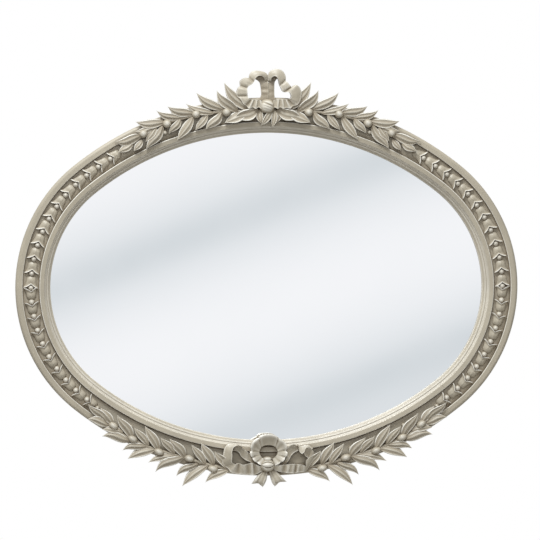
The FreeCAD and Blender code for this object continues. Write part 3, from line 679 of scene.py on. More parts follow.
@dataclass(frozen=True)
class PlainMetal:
    """Plated or bare steel with fine scratches and dull patches."""

    name: str
    tint: Colour
    roughness: float
    scratch_depth: float = 0.02 * MM

    def material(self) -> bpy.types.Material:
        """Builds the finish.

        Returns:
            A metal whose gloss varies over its surface.
        """
        metal = Shader(self.name)
        patches = metal.noise(70.0, 4.0)
        scratches = metal.noise(500.0, 2.0, metal.stretched(1.0, 1.0, 9.0))
        rough = metal.math("ADD", metal.span(patches, 0.3, 0.7, -0.06, 0.1), self.roughness)
        colour = metal.mix(metal.span(patches, 0.4, 0.75, 0.0, 0.8), self.tint, toned(self.tint, 0.75))
        normal = metal.bump(scratches, self.scratch_depth)
        return metal.dress(Base_Color=colour, Roughness=rough, Metallic=1.0, Normal=normal)


@dataclass
class Oval:
    """The oval outline, drawn by four tangent arcs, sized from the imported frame.

    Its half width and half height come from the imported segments, and joint_angle is where the arcs meet.
    """

    half_width: float
    half_height: float
    joint_angle: float = math.radians(51.5)

    @classmethod
    def of_frame(cls) -> "Oval":
        """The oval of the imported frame."""
        return cls(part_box("frame_right")[1].x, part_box("frame_top")[1].z)

    @property
    def centre_gap(self) -> float:
        """How far apart the centres of neighbouring arcs lie."""
        turned = math.cos(self.joint_angle) + math.sin(self.joint_angle) - 1.0
        return (self.half_width - self.half_height) / turned

    @property
    def end_radius(self) -> float:
        """Radius of the left and right arcs."""
        return self.half_height - self.centre_gap * (1.0 - math.sin(self.joint_angle))

    @property
    def flat_radius(self) -> float:
        """Radius of the top and bottom arcs."""
        return self.end_radius + self.centre_gap

    def radius(self, arc: Arc) -> float:
        """Radius of the named arc."""
        return self.end_radius if arc in (Arc.RIGHT, Arc.LEFT) else self.flat_radius

    def centre(self, arc: Arc) -> Vector:
        """Centre of an arc.

        Args:
            arc: The arc.

        Returns:
            The point, on the wall.
        """
        end_place = self.half_width - self.end_radius
        flat_place = self.flat_radius - self.half_height
        across, up = {
            Arc.RIGHT: (end_place, 0.0),
            Arc.TOP: (0.0, -flat_place),
            Arc.LEFT: (-end_place, 0.0),
            Arc.BOTTOM: (0.0, flat_place),
        }[arc]
        return Vector((across, 0.0, up))

    def half_sweep(self, arc: Arc) -> float:
        """Half the angle that the named arc turns through."""
        return self.joint_angle if arc in (Arc.RIGHT, Arc.LEFT) else math.pi / 2 - self.joint_angle

    def quarter_point(self, distance: float, inset: float, outward: float = 0.0) -> Vector:
        """A point of the upper right quarter.

        Args:
            distance: Distance along the inset oval from the middle of the right side.
            inset: How far inside the frame's edge the inset oval runs.
            outward: How far outside that oval the point lies.

        Returns:
            The point, on the wall.
        """
        end_path = self.end_radius - inset
        end_length = end_path * self.joint_angle
        if distance < end_length:
            arc, path, angle = Arc.RIGHT, end_path, distance / end_path
        else:
            path = self.flat_radius - inset
            arc, angle = Arc.TOP, self.joint_angle + (distance - end_length) / path
        return self.centre(arc) + Vector((math.cos(angle), 0.0, math.sin(angle))) * (path + outward)

    def quarter_length(self, inset: float) -> float:
        """Length of a quarter of the inset oval."""
        end_length = (self.end_radius - inset) * self.joint_angle
        return end_length + (self.flat_radius - inset) * (math.pi / 2 - self.joint_angle)


@dataclass
class Section:
    """A moulding's section: its points, and how far each one stands proud.

    A place in it is the inset from the frame's outer edge and the depth along Y. The inset becomes -X.
    """

    points: list[Vector] = field(default_factory=list)
    relief: list[float] = field(default_factory=list)

    def add(self, inset: float, depth: float, proud: float) -> None:
        """Adds one point."""
        self.points.append(Vector((-inset, depth, 0.0)))
        self.relief.append(proud)

    def corner(
        self, place: Row, before: Row, after: Row, radius: float, proud: float, least: float = -1.0
    ) -> None:
        """Adds a corner: a guard, the round itself and another guard.

        Args:
            place: The sharp corner.
            before: The place that the section comes from.
            after: The place that it goes on to.
            radius: How far the round reaches along each side; 0 keeps the corner sharp.
            proud: How far the round's middle stands proud.
            least: The least that any of its points stands proud.
        """
        if radius == 0.0:
            self.add(*place, proud)
            return
        here = Vector((*place, 0.0))
        back, on = ((Vector((*other, 0.0)) - here).normalized() for other in (before, after))
        guard = radius * 1.12
        steps = 4 if radius < 2 * MM else 12
        angles = [math.pi / 2 * index / steps for index in range(steps + 1)]
        places = [
            here + back * (radius * (1.0 - math.sin(angle))) + on * (radius * (1.0 - math.cos(angle)))
            for angle in angles
        ]
        swells = [0.0, *(proud * math.sin(2.0 * angle) for angle in angles), 0.0]
        for point, swell in zip([here + back * guard, *places, here + on * guard], swells):
            self.add(point.x, point.y, max(least, swell))


@dataclass
class Moulding:
    """The frame's four moulded segments: rail, channel, ridge and the stepped moulding down to the glass.

    A rise is measured from the frame's back, and bare_facing is how squarely a face looks at the wall
    where it stays bare timber.
    """

    oval: Oval
    paint: bpy.types.Material
    timber: bpy.types.Material
    back: float = -5 * MM
    front: float = -33 * MM
    back_taper: float = 6 * MM
    rail_width: float = 14 * MM
    edge_round: float = 6 * MM
    channel_width: float = 33.4 * MM
    channel_depth: float = 8 * MM
    ridge_width: float = 9.6 * MM
    ridge_fall: float = 1.4 * MM
    ridge_step: float = 0.9 * MM
    cove_width: float = 4.9 * MM
    cove_rise: float = 20.5 * MM
    cove_sag: float = 0.9 * MM
    cove_nick: float = 0.5 * MM
    bead_width: float = 4.1 * MM
    bead_rise: float = 18 * MM
    bead_crown: float = 0.9 * MM
    bead_gap: float = 0.15 * MM
    bead_drop: float = 0.2 * MM
    bead_step: float = 0.8 * MM
    lip_width: float = 4.1 * MM
    lip_rise: float = 13.8 * MM
    rebate_width: float = 10 * MM
    rebate_depth: float = 8.5 * MM
    arris: float = 0.9 * MM
    # The paint makes the cove and the lip paler by wear_and_highlight_relief, as wear and as painted
    # highlight, and the nicks darker by nick_shade_relief, as painted shade.
    wear_and_highlight_relief: float = 0.28
    nick_shade_relief: float = -0.15
    crease: float = 38.0
    bare_facing: float = 0.9
    resolution: int = 110

    @property
    def channel_floor(self) -> float:
        """The plane of the channel's floor."""
        return self.front + self.channel_depth

    @property
    def width(self) -> float:
        """The moulding's width, from its outer edge to the glass."""
        parts = (self.channel_width, self.ridge_width, self.cove_width, self.bead_width, self.lip_width)
        return self.rail_width + sum(parts)

    def section(self) -> Section:
        """The moulding's section.

        Returns:
            The closed section, round from the back outer corner.
        """
        channel_end = self.rail_width + self.channel_width
        ridge_end = channel_end + self.ridge_width
        cove_end = ridge_end + self.cove_width
        bead_end = cove_end + self.bead_width
        sight = bead_end + self.lip_width
        rebate = sight - self.rebate_width
        fall = self.front + self.ridge_fall
        step = fall + self.ridge_step
        cove = self.back - self.cove_rise
        bead = self.back - self.bead_rise
        glass = self.back - self.rebate_depth
        fine = self.arris * 0.5
        section = Section()
        # The last number of each corner is how proud its round stands: the paint makes the arrises paler, as
        # wear and as painted highlight, and the channel floor darker, as painted shade.
        corners = [
            (self.back_taper, self.back, fine, 0.0),
            (0.0, self.front + self.edge_round * 1.15, 0.0, 0.0),
            (0.0, self.front, self.edge_round, 0.1),
            (self.rail_width, self.front, self.arris * 1.7, 0.8),
            (self.rail_width, self.channel_floor, 0.0, -0.5),
            (channel_end, self.channel_floor, 0.0, -0.5),
            (channel_end, self.front, self.arris * 1.9, 1.0),
            (ridge_end, fall, fine, 0.5),
            (ridge_end, step, 0.0, -0.1),
        ]
        ends = [(rebate, self.back), *(corner[:2] for corner in corners), (cove_end, cove)]
        for (inset, depth, radius, proud), before, after in zip(corners, ends, ends[2:]):
            section.corner((inset, depth), before, after, radius, proud)
        for index in range(1, 9):
            share = index / 9
            sag = self.cove_sag * math.sin(math.pi * share)
            depth = step + (cove - step) * share + sag
            section.add(ridge_end + self.cove_width * share, depth, self.wear_and_highlight_relief + 0.1 * share)
        section.add(cove_end, cove + self.cove_nick, self.nick_shade_relief)
        for index in range(11):
            share = index / 10
            swell = math.sin(math.pi * share)
            inset = cove_end + self.bead_gap + (self.bead_width - self.bead_gap) * share
            depth = cove + (bead - cove) * share - self.bead_crown * swell**0.8 + self.bead_drop
            section.add(inset, depth, 0.25 * swell + 0.16)
        bead_foot = (bead_end, bead + self.bead_step)
        section.add(*bead_foot, self.nick_shade_relief)
        lip = (sight, self.back - self.lip_rise)
        section.corner(lip, bead_foot, (sight, glass), self.arris, 0.7, self.wear_and_highlight_relief)
        # The rebate behind the glass is painted darker, as painted shade.
        for inset, depth in ((sight, glass), (rebate, glass), (rebate, self.back)):
            section.add(inset, depth, -0.5)
        return section

    def sweep_tree(self) -> GeometryTree:
        """Makes the tree that sweeps the section round an arc in the wall's plane and caps its ends.

        Returns:
            The tree.
        """
        sweep = GeometryTree("sweep_moulding")
        radius = sweep.entry("Radius", "NodeSocketFloat")
        start = sweep.entry("Start Angle", "NodeSocketFloat")
        turn = sweep.entry("Sweep Angle", "NodeSocketFloat")
        centre = sweep.entry("Centre", "NodeSocketVector")
        count = sweep.entry("Resolution", "NodeSocketInt")
        path = sweep.node(
            "GeometryNodeCurveArc",
            {"Resolution": count, "Radius": radius, "Start Angle": start, "Sweep Angle": turn},
            mode="RADIUS",
        )
        upright = sweep.node("GeometryNodeSetCurveNormal", {"Curve": path.outputs["Curve"]}, mode="Z_UP")
        outline = sweep.node("GeometryNodeMeshToCurve", {"Mesh": sweep.geometry})
        body = sweep.node(
            "GeometryNodeCurveToMesh",
            {"Curve": upright.outputs[0], "Profile Curve": outline.outputs[0], "Fill Caps": True},
        )
        placed = sweep.node(
            "GeometryNodeTransform",
            {"Geometry": body.outputs[0], "Translation": centre, "Rotation": (math.pi / 2, 0.0, 0.0)},
        )
        sweep.finish(placed.outputs[0], self.paint)
        return sweep

    def build(self) -> None:
        """Sweeps the four segments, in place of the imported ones, and leaves their backs bare."""
        tree = self.sweep_tree()
        section = self.section()
        count = len(section.points)
        for arc in Arc:
            place = arc.name.lower()
            mesh = bpy.data.meshes.new(f"section_{place}")
            mesh.from_pydata(section.points, [(i, (i + 1) % count) for i in range(count)], [])
            add_relief(mesh, section.relief)
            segment = place_mesh(f"moulding_{place}", mesh)
            half = self.oval.half_sweep(arc)
            tree.grow(
                segment,
                Radius=self.oval.radius(arc),
                Start_Angle=math.radians(arc.value) - half,
                Sweep_Angle=2.0 * half,
                Centre=self.oval.centre(arc),
                Resolution=self.resolution,
            )
            settle(segment, self.crease)
            dress(segment, self.paint, self.timber)
            for face in segment.data.polygons:
                if face.normal.y > self.bare_facing:
                    face.material_index = 1
            hand_over(segment, f"frame_{place}")


@dataclass
class HuskChain:
    """The strips of bell-shaped husks and round beads that lie in the channel.

    A husk is round over rear_share of its length and widens from there. Its mouth curls up by its lip,
    past a dip at dip_place, its flanks curl up as high, and tuck is how far it is undercut. A crest runs
    along it between two valleys. Its mesh has points at the shares ALONG and HALF_ACROSS.
    """

    oval: Oval
    paint: bpy.types.Material
    floor: float
    inset: float = 30.7 * MM
    pitch: float = 28.5 * MM
    mouth_gap: float = 7.4 * MM
    length: float = 16.5 * MM
    mouth_reach: float = 8 * MM
    mouth_half: float = 14.7 * MM
    body_half: float = 9.4 * MM
    body_flare: float = 0.6 * MM
    rear_share: float = 0.35
    height: float = 6.2 * MM
    least_height: float = 0.4 * MM
    crest_height: float = 0.55 * MM
    valley_depth: float = 0.35 * MM
    valley_place: float = 0.34
    dip_depth: float = 0.9 * MM
    dip_place: float = 0.84
    lip_height: float = 1.6 * MM
    tuck: float = 3 * MM
    ground_half: float = 16.4 * MM
    ground_thickness: float = 1.2 * MM
    ground_chamfer: float = 0.5 * MM
    ground_steps: int = 120
    path_steps: int = 400
    bead_radius: float = 6.2 * MM
    bead_height: float = 7.2 * MM
    side_bead_scale: float = 1.06
    husk_crease: float = 60.0
    bead_crease: float = 70.0
    upper_share: float = 0.55
    lower_share: float = 0.46

    HALF_ACROSS = (0.12, 0.28, 0.48, 0.68, 0.84, 0.94, 1.0)
    ALONG = (0.0, 0.04, 0.12, 0.24, 0.40, 0.56, 0.70, 0.80, 0.87, 0.92, 0.96, 0.985, 1.0)
    BEAD_RISES = (0.0, 0.35, 0.62, 0.82, 0.94, 0.985)

    @property
    def husks(self) -> int:
        """How many husks a quarter holds."""
        return round(self.oval.quarter_length(self.inset) / self.pitch - 0.5)

    @property
    def spacing(self) -> float:
        """The pitch that fills the quarter evenly."""
        return self.oval.quarter_length(self.inset) / (self.husks + 0.5)

    def half_width(self, share: float) -> float:
        """Half the husk's width.

        Args:
            share: The place along it, from its rounded rear at 0 to its flared mouth at 1.

        Returns:
            Half the width in metres.
        """
        if share < self.rear_share:
            return self.body_half * math.sqrt(max(0.0, 1.0 - (1.0 - share / self.rear_share) ** 2))
        flare = (share - self.rear_share) / (1.0 - self.rear_share)
        widest = self.mouth_half - self.body_half - self.body_flare
        return self.body_half + self.body_flare * flare + widest * flare**3

    def rise(self, share: float, across: float) -> float:
        """How far the husk stands above the channel's ground.

        Args:
            share: The place along it, 0 at its rear.
            across: The place across it, from -1 to 1.

        Returns:
            The height in metres.
        """
        swell = 1.0 - abs(across) ** 2.6
        body = self.height * (0.42 + 0.58 * smooth_step(share / 0.45)) * (0.30 + 0.70 * swell)
        crest = self.crest_height * bump_at(across, 0.0, 0.10) * smooth_step(share / 0.3)
        valley = bump_at(across, -self.valley_place, 0.16) + bump_at(across, self.valley_place, 0.16)
        valley *= self.valley_depth * share
        dip = self.dip_depth * bump_at(share, self.dip_place, 0.09)
        lip = self.lip_height * bump_at(share, 0.97, 0.05)
        flare = self.lip_height * smooth_step((share - 0.7) / 0.3) * abs(across) ** 1.5
        rear = 0.35 + 0.65 * smooth_step(share / 0.05)
        return max((body + crest - valley - dip + lip + flare) * rear, self.least_height)

    def proud(self, share: float, across: float) -> float:
        """How proud a point of the husk stands, most on its lip and least in the dip, at its rear and along
        its sides: the paint makes the lip paler, as wear and as painted highlight, and the dip, the rear and
        the sides darker, as painted shade.

        Args:
            share: The place along it, 0 at its rear.
            across: The place across it, from -1 to 1.

        Returns:
            The relief.
        """
        light = (1.15 - 0.5 * abs(across) ** 3) * bump_at(share, 0.98, 0.05)
        light += 0.25 * bump_at(across, 0.0, 0.3) * (1.0 - share)
        dark = 0.35 * bump_at(share, self.dip_place, 0.05) + 0.6 * bump_at(share, 0.0, 0.08)
        dark += 0.5 * abs(across) ** 6 * (1 - share)
        return light - dark

    def husk(self, name: str) -> bpy.types.Object:
        """One husk, its mouth's notch at the origin and its rear along +X, standing on the XY plane.

        Args:
            name: The object's name.

        Returns:
            The husk, to be copied along the channel.
        """
        across = [-value for value in reversed(self.HALF_ACROSS)] + [0.0, *self.HALF_ACROSS]
        top: Grid = []
        bottom: Grid = []
        for share in self.ALONG:
            upper, lower = [], []
            for v in across:
                t = self.half_width(share) * v
                mouth = -self.mouth_reach * math.sin(math.pi / 2 * min(1.0, abs(t) / self.mouth_half))
                s = self.length * (1.0 - share) + mouth * share**2.2
                upper.append(Vector((s, t, self.rise(share, v))))
                lower.append(Vector((s + self.tuck * share**6, t * (1.0 - 0.10 * share**6), 0.0)))
            top.append(upper)
            bottom.append(lower)
        carving = Carving()
        carving.slab(top, bottom, [[self.proud(share, v) for v in across] for share in self.ALONG])
        return carving.piece(name, self.husk_crease)

    def bead(self, name: str) -> bpy.types.Object:
        """One round bead.

        Args:
            name: The object's name.

        Returns:
            The bead at the origin, standing on the XY plane.
        """
        rings = []
        for share in self.BEAD_RISES:
            angle = share * math.pi / 2
            radius, rise = self.bead_radius * math.cos(angle), self.bead_height * math.sin(angle)
            rings.append(ellipse(Vector((0, 0, rise)), Vector((radius, 0, 0)), Vector((0, radius, 0)), 16))
        carving = Carving()
        # The bead is painted paler towards its crown, as wear and as painted highlight.
        carving.tube(rings, [0.7 * share for share in self.BEAD_RISES])
        return carving.piece(name, self.bead_crease)

    def row_tree(self) -> GeometryTree:
        """Makes the tree that sets copies of one shape along a path, each turned to follow it.

        Returns:
            The tree.
        """
        row = GeometryTree("set_along_channel")
        shape = row.entry("Shape", "NodeSocketObject")
        start = row.entry("Start", "NodeSocketFloat")
        end = row.entry("End", "NodeSocketFloat")
        count = row.entry("Count", "NodeSocketInt")
        path = row.node("GeometryNodeMeshToCurve", {"Mesh": row.geometry}).outputs[0]
        trimmed = row.node(
            "GeometryNodeTrimCurve", {"Curve": path, "Start": start, "End": end}, mode="LENGTH"
        ).outputs[0]
        places = row.node("GeometryNodeResampleCurve", {"Curve": trimmed, "Count": count}, mode="COUNT")
        tangent = row.node("GeometryNodeInputTangent").outputs[0]
        turned = row.node(
            "FunctionNodeAxesToRotation",
            {"Primary Axis": tangent, "Secondary Axis": (0.0, -1.0, 0.0)},
            primary_axis="X",
            secondary_axis="Z",
        ).outputs[0]
        source = row.node("GeometryNodeObjectInfo", {"Object": shape}, transform_space="ORIGINAL")
        copied = source.outputs["Geometry"]
        copies = row.node(
            "GeometryNodeInstanceOnPoints",
            {"Points": places.outputs[0], "Instance": copied, "Rotation": turned},
        )
        row.finish(copies.outputs[0], self.paint)
        return row

    def path(self, name: str) -> bpy.types.Object:
        """The channel's middle line over the upper right quarter.

        Args:
            name: The object's name.

        Returns:
            The line, on top of the husks' ground.
        """
        length = self.oval.quarter_length(self.inset)
        count = self.path_steps
        rise = Vector((0.0, self.floor - self.ground_thickness, 0.0))
        points = [self.oval.quarter_point(length * i / count, self.inset) + rise for i in range(count + 1)]
        mesh = bpy.data.meshes.new(name)
        mesh.from_pydata(points, [(i, i + 1) for i in range(count)], [])
        return place_mesh(name, mesh)

    def ground(self) -> bpy.types.Object:
        """The thin strip that carries the husks of the upper right quarter.

        Returns:
            The strip, on the channel's floor.
        """
        length = self.oval.quarter_length(self.inset)
        shares = (-1.0, -0.96, -0.5, 0.0, 0.5, 0.96, 1.0)
        dips = [self.ground_chamfer if abs(share) == 1.0 else 0.0 for share in shares]
        surface = self.floor - self.ground_thickness
        top: Grid = []
        bottom: Grid = []
        for index in range(self.ground_steps + 1):
            distance = length * index / self.ground_steps
            outwards = [share * self.ground_half for share in shares]
            row = [self.oval.quarter_point(distance, self.inset, outward) for outward in outwards]
            top.append([place + Vector((0.0, surface + dip, 0.0)) for place, dip in zip(row, dips)])
            bottom.append([place + Vector((0.0, self.floor, 0.0)) for place in row])
        carving = Carving()
        carving.slab(top, bottom, [[0.0] * len(shares) for _ in top])
        return carving.piece("channel_ground")

    def strip(
        self, level: str, count: int, tree: GeometryTree, husk: bpy.types.Object, bead: bpy.types.Object
    ) -> bpy.types.Object:
        """One strip in the upper right quarter: its ground, and husks and beads on its start.

        Args:
            level: The level it is for, upper or lower.
            count: How many husks it carries.
            tree: The tree that sets copies along a path.
            husk: The husk to copy.
            bead: The bead to copy.

        Returns:
            The strip.
        """
        last = self.spacing * (count - 1)
        end = self.mouth_gap + last
        husks = tree.grow(self.path("husk_row"), Shape=husk, Start=self.mouth_gap, End=end, Count=count)
        beads = tree.grow(self.path("bead_row"), Shape=bead, Start=self.spacing, End=last, Count=count - 1)
        name = "husks_upper_right" if level == "upper" else "husks_lower_blank"
        return join(name, [self.ground(), husks, beads])

    def build_strips(self, husk: bpy.types.Object, bead: bpy.types.Object) -> None:
        """Builds an upper and a lower strip, and mirrors both to the left.

        Args:
            husk: The husk to copy.
            bead: The bead to copy.
        """
        tree = self.row_tree()
        for level, share in (("upper", self.upper_share), ("lower", self.lower_share)):
            strip = self.strip(level, round(self.husks * share), tree, husk, bead)
            if level == "lower":
                turned = mirrored(strip, "husks_lower_right", (1.0, 1.0, -1.0))
                bpy.data.objects.remove(strip)
                strip = turned
            pieces = {"right": strip, "left": mirrored(strip, f"husks_{level}_left", (-1.0, 1.0, 1.0))}
            for place, piece in pieces.items():
                finish_casting(piece, self.paint, f"husk_strip_{level}_{place}")

    def build_side_beads(self, bead: bpy.types.Object) -> None:
        """Sets the bead that stands between the strips on each side.

        Args:
            bead: The bead to copy.
        """
        for side in Side:
            across = side.value * (self.oval.half_width - self.inset)
            mesh = bead.data.copy()
            mesh.transform(Matrix.Rotation(math.pi / 2, 4, "X"))
            mesh.transform(Matrix.Scale(self.side_bead_scale, 4))
            mesh.transform(Matrix.Translation((across, self.floor - self.ground_thickness, 0.0)))
            place = side.name.lower()
            finish_casting(place_mesh(f"middle_bead_{place}", mesh), self.paint, f"side_bead_{place}")

    def build(self) -> None:
        """Builds the strips and the side beads, from one husk and one bead."""
        husk, bead = self.husk("husk_shape"), self.bead("bead_shape")
        self.build_strips(husk, bead)
        self.build_side_beads(bead)
        for spare in (husk, bead):
            bpy.data.objects.remove(spare)


@dataclass
class Leaf:
    """One carved leaf that lies on the frame: a creased blade with a raised rim, painted pale as wear and as
    painted highlight, and a pointed tip.

    It bends like an S by bend and to one side by bow, as shares of its length, leans sideways by tilt,
    and is arched at a cup of 0 and hollow at 1. Its mesh has points at the shares ALONG and HALF_ACROSS.
    """

    root: Vector
    tip: Vector
    width: float
    height: float
    bend: float = 0.0
    bow: float = 0.0
    tilt: float = 0.0
    cup: float = 0.4
    thickness: float = 2.8 * MM
    least_height: float = 0.5 * MM
    groove_depth: float = 0.75 * MM
    groove_place: float = 0.38
    vein_depth: float = 0.3 * MM
    vein_place: float = 0.66
    rim_height: float = 1.2 * MM
    rim_fall: float = 0.9 * MM

    ALONG = (0.0, 0.025, 0.07, 0.14, 0.23, 0.33, 0.43, 0.53, 0.63, 0.72, 0.80, 0.87, 0.93, 0.97, 1.0)
    HALF_ACROSS = (0.07, 0.15, 0.23, 0.31, 0.40, 0.49, 0.57, 0.65, 0.72, 0.79, 0.86, 0.92, 0.965, 1.0)

    def blade(self, share: float) -> float:
        """Half the blade's width at a share of its length from the root."""
        return self.width / 2 * math.sin(math.pi * share**0.90) ** (0.60 + 0.55 * share)

    def rise(self, share: float, across: float) -> float:
        """How far the blade stands above the frame's front.

        Args:
            share: The place along the blade, 0 at the root.
            across: The place across it, from -1 to 1.

        Returns:
            The height in metres.
        """
        half = self.blade(share)
        spine = self.height * (0.30 + 0.70 * math.sin(math.pi * min(1.0, share * 0.82 + 0.05)) ** 0.8)
        outer = abs(across)
        arch = (1.0 - self.cup) * 0.55 * half * outer**1.35 - self.cup * 0.42 * half * outer**1.7
        groove = self.groove_depth * bump_at(outer, self.groove_place, 0.15)
        groove += self.vein_depth * bump_at(outer, self.vein_place, 0.06)
        rim = self.rim_height * bump_at(outer, 0.86, 0.12)
        rim -= self.rim_fall * smooth_step((outer - 0.92) / 0.08)
        scale = half / (self.width / 2)
        return spine - arch + (rim - groove) * scale + self.tilt * across * half

    def proud(self, share: float, across: float) -> float:
        """How proud a point of the blade stands: the rim, the midrib and the tip are painted paler, as wear
        and as painted highlight, and the grooves and the root darker, as painted shade.

        Args:
            share: The place along the blade, 0 at the root.
            across: The place across it, from -1 to 1.

        Returns:
            The relief, from -1 in a groove to 1 on the rim.
        """
        outer = abs(across)
        ends = smooth_step(share / 0.25)
        light = 1.05 * bump_at(outer, 0.88, 0.12) * ends + 0.35 * bump_at(outer, 0.0, 0.12) * ends
        light += 0.5 * smooth_step((share - 0.86) / 0.14)
        dark = 0.55 * bump_at(outer, self.groove_place, 0.14) * ends
        dark += 0.35 * bump_at(outer, self.vein_place, 0.06) * ends
        dark += 0.60 * (1.0 - smooth_step(share / 0.30))
        return max(-1.0, min(1.0, light - dark))

    def carve(self, carving: Carving) -> None:
        """Adds the leaf to a carving.

        Args:
            carving: What gathers the shells.
        """
        reach = self.tip - self.root
        forward = reach.normalized()
        sideways = Vector((-forward.z, 0.0, forward.x))
        across = [-value for value in reversed(self.HALF_ACROSS)] + [0.0, *self.HALF_ACROSS]
        top: Grid = []
        bottom: Grid = []
        for share in self.ALONG:
            sway = self.bend * math.sin(math.tau * share * 0.9) + self.bow * math.sin(math.pi * share)
            spine = self.root + reach * share + sideways * (reach.length * sway)
            upper, lower = [], []
            for v in across:
                place = spine + sideways * (v * self.blade(share))
                high = self.rise(share, v)
                upper.append(place + Vector((0.0, -max(high, self.least_height), 0.0)))
                lower.append(place + Vector((0.0, -max(high - self.thickness, 0.0), 0.0)))
            top.append(upper)
            bottom.append(lower)
        carving.slab(top, bottom, [[self.proud(share, v) for v in across] for share in self.ALONG])


@dataclass(frozen=True)
class SprayPlan:
    """Where the parts of a laurel spray lie on its right-hand side.

    Each place is a station and an offset: a share of the spray's length from the middle, and a share of
    the moulding's width out from the frame's edge. A leaf is its root, its tip, its fullness and its cup.
    """

    length: float
    leaves: tuple[Row, ...]
    berries: tuple[Row, ...]
    buds: tuple[Row, ...]
    stem: tuple[Row, ...]
    berry_length: float
    berry_width: float


@dataclass
class LaurelSpray:
    """A spray of long and short leaves with round berries, from the bow outwards."""

    oval: Oval
    moulding: Moulding
    paint: bpy.types.Material
    level: Level
    plan: SprayPlan
    path_inset: float = 42.2 * MM
    leaf_width: float = 19.5 * MM
    leaf_height: float = 9.4 * MM
    leaf_reach: float = 1.09
    berry_height: float = 12 * MM
    bud_radius: float = 4.4 * MM
    stem_half_width: float = 4 * MM
    stem_height: float = 3.8 * MM
    stem_taper: float = 0.45

    def point(self, station: float, offset: float) -> Vector:
        """A place on the frame's front.

        Args:
            station: Share of the spray's length from the middle.
            offset: Share of the moulding's width out from the frame's edge.

        Returns:
            The point.
        """
        angle = station * self.plan.length / (self.oval.flat_radius - self.path_inset)
        radius = self.oval.flat_radius + offset * self.moulding.width
        centre = self.oval.flat_radius - self.oval.half_height
        up = (radius * math.cos(angle) - centre) * self.level.value
        return Vector((radius * math.sin(angle), self.moulding.front, up))

    def leaves(self, carving: Carving) -> None:
        """Adds the leaves, each turned and tilted a little differently.

        Args:
            carving: What gathers the shells.
        """
        up = self.level.value
        for index, (start, start_offset, end, end_offset, fullness, cup) in enumerate(self.plan.leaves):
            outward = 1.0 if end_offset > start_offset else -1.0
            wave = math.sin(index * 2.4)
            root, tip = self.point(start, start_offset), self.point(end, end_offset)
            Leaf(
                root=root,
                tip=root + (tip - root) * self.leaf_reach,
                width=self.leaf_width * fullness,
                height=self.leaf_height * min(1.0, 0.55 + 0.45 * fullness) * (0.96 + 0.04 * wave),
                bend=0.035 * outward * up * (0.8 + 0.5 * wave),
                bow=-up * (0.10 + 0.02 * wave if outward > 0 else 0.02),
                tilt=0.22 * wave + 0.10 * outward * up,
                cup=cup + 0.12 * math.sin(index * 1.7),
            ).carve(carving)

    def buds(self, carving: Carving) -> None:
        """Adds the small round buds that stand in the channel beside the leaves.

        Args:
            carving: What gathers the shells.
        """
        last = 7
        for place in self.plan.buds:
            rings = []
            for step in range(last + 1):
                angle = math.pi / 2 * min(0.98, max(0, step - 1) / (last - 1))
                reach = self.bud_radius * math.cos(angle)
                rise = self.bud_radius * math.sin(angle) if step else -self.moulding.channel_depth
                centre = self.point(*place) + Vector((0.0, -rise, 0.0))
                rings.append(ellipse(centre, Vector((reach, 0.0, 0.0)), Vector((0.0, 0.0, reach)), 14))
            # Each bud is painted darker at its foot in the channel, as painted shade, and paler towards its
            # top, as painted highlight and wear.
            carving.tube(rings, [-0.5 + 1.1 * step / last for step in range(last + 1)])

    def berries(self, carving: Carving) -> None:
        """Adds the round berries between the leaves.

        Args:
            carving: What gathers the shells.
        """
        last = 9
        for station, offset in self.plan.berries:
            centre = self.point(station, offset)
            along = (self.point(station + 0.01, offset) - centre).normalized()
            across = Vector((-along.z, 0.0, along.x))
            rings = []
            for step in range(last + 1):
                angle = math.pi / 2 * min(0.985, step / last)
                reach = math.cos(angle) ** 0.9 / 2
                rise = Vector((0.0, -self.berry_height * math.sin(angle) ** 0.85, 0.0))
                half_length = along * (self.plan.berry_length * reach)
                half_width = across * (self.plan.berry_width * reach)
                rings.append(ellipse(centre + rise, half_length, half_width, 20))
            # Each berry is painted darker at its foot, as painted shade, and paler towards its crown, as
            # painted highlight and wear.
            carving.tube(rings, [-0.5 + 1.15 * step / last for step in range(last + 1)])

    def stem(self, carving: Carving) -> None:
        """Adds the stem that the leaves grow from, half round and thinner outwards.

        Args:
            carving: What gathers the shells.
        """
        places = [Vector(row) for row in spline([self.point(*place) for place in self.plan.stem], 8)]
        rings = []
        for index, place in enumerate(places):
            forward = (places[min(index + 1, len(places) - 1)] - places[max(index - 1, 0)]).normalized()
            thin = 1.0 - self.stem_taper * index / len(places)
            side = Vector((-forward.z, 0.0, forward.x)) * (self.stem_half_width * thin)
            rise = Vector((0.0, -self.stem_height, 0.0))
            angles = [math.pi * k / 9 for k in range(10)]
            rings.append([place + side * math.cos(angle) + rise * math.sin(angle) for angle in angles])
        # The stem, mostly under the leaves, is painted a little darker, as painted shade.
        carving.tube(rings, [-0.2] * len(rings))

    def build(self) -> None:
        """Builds the right-hand spray, and mirrors it to the left."""
        carving = Carving()
        self.stem(carving)
        self.berries(carving)
        self.buds(carving)
        self.leaves(carving)
        level = self.level.name.lower()
        right = carving.piece(f"laurel_{level}_right", SHARP_CREASE)
        left = mirrored(right, f"laurel_{level}_left", (-1.0, 1.0, 1.0))
        for piece, side in ((right, "right"), (left, "left")):
            finish_casting(piece, self.paint, f"{level}_laurel_{side}")


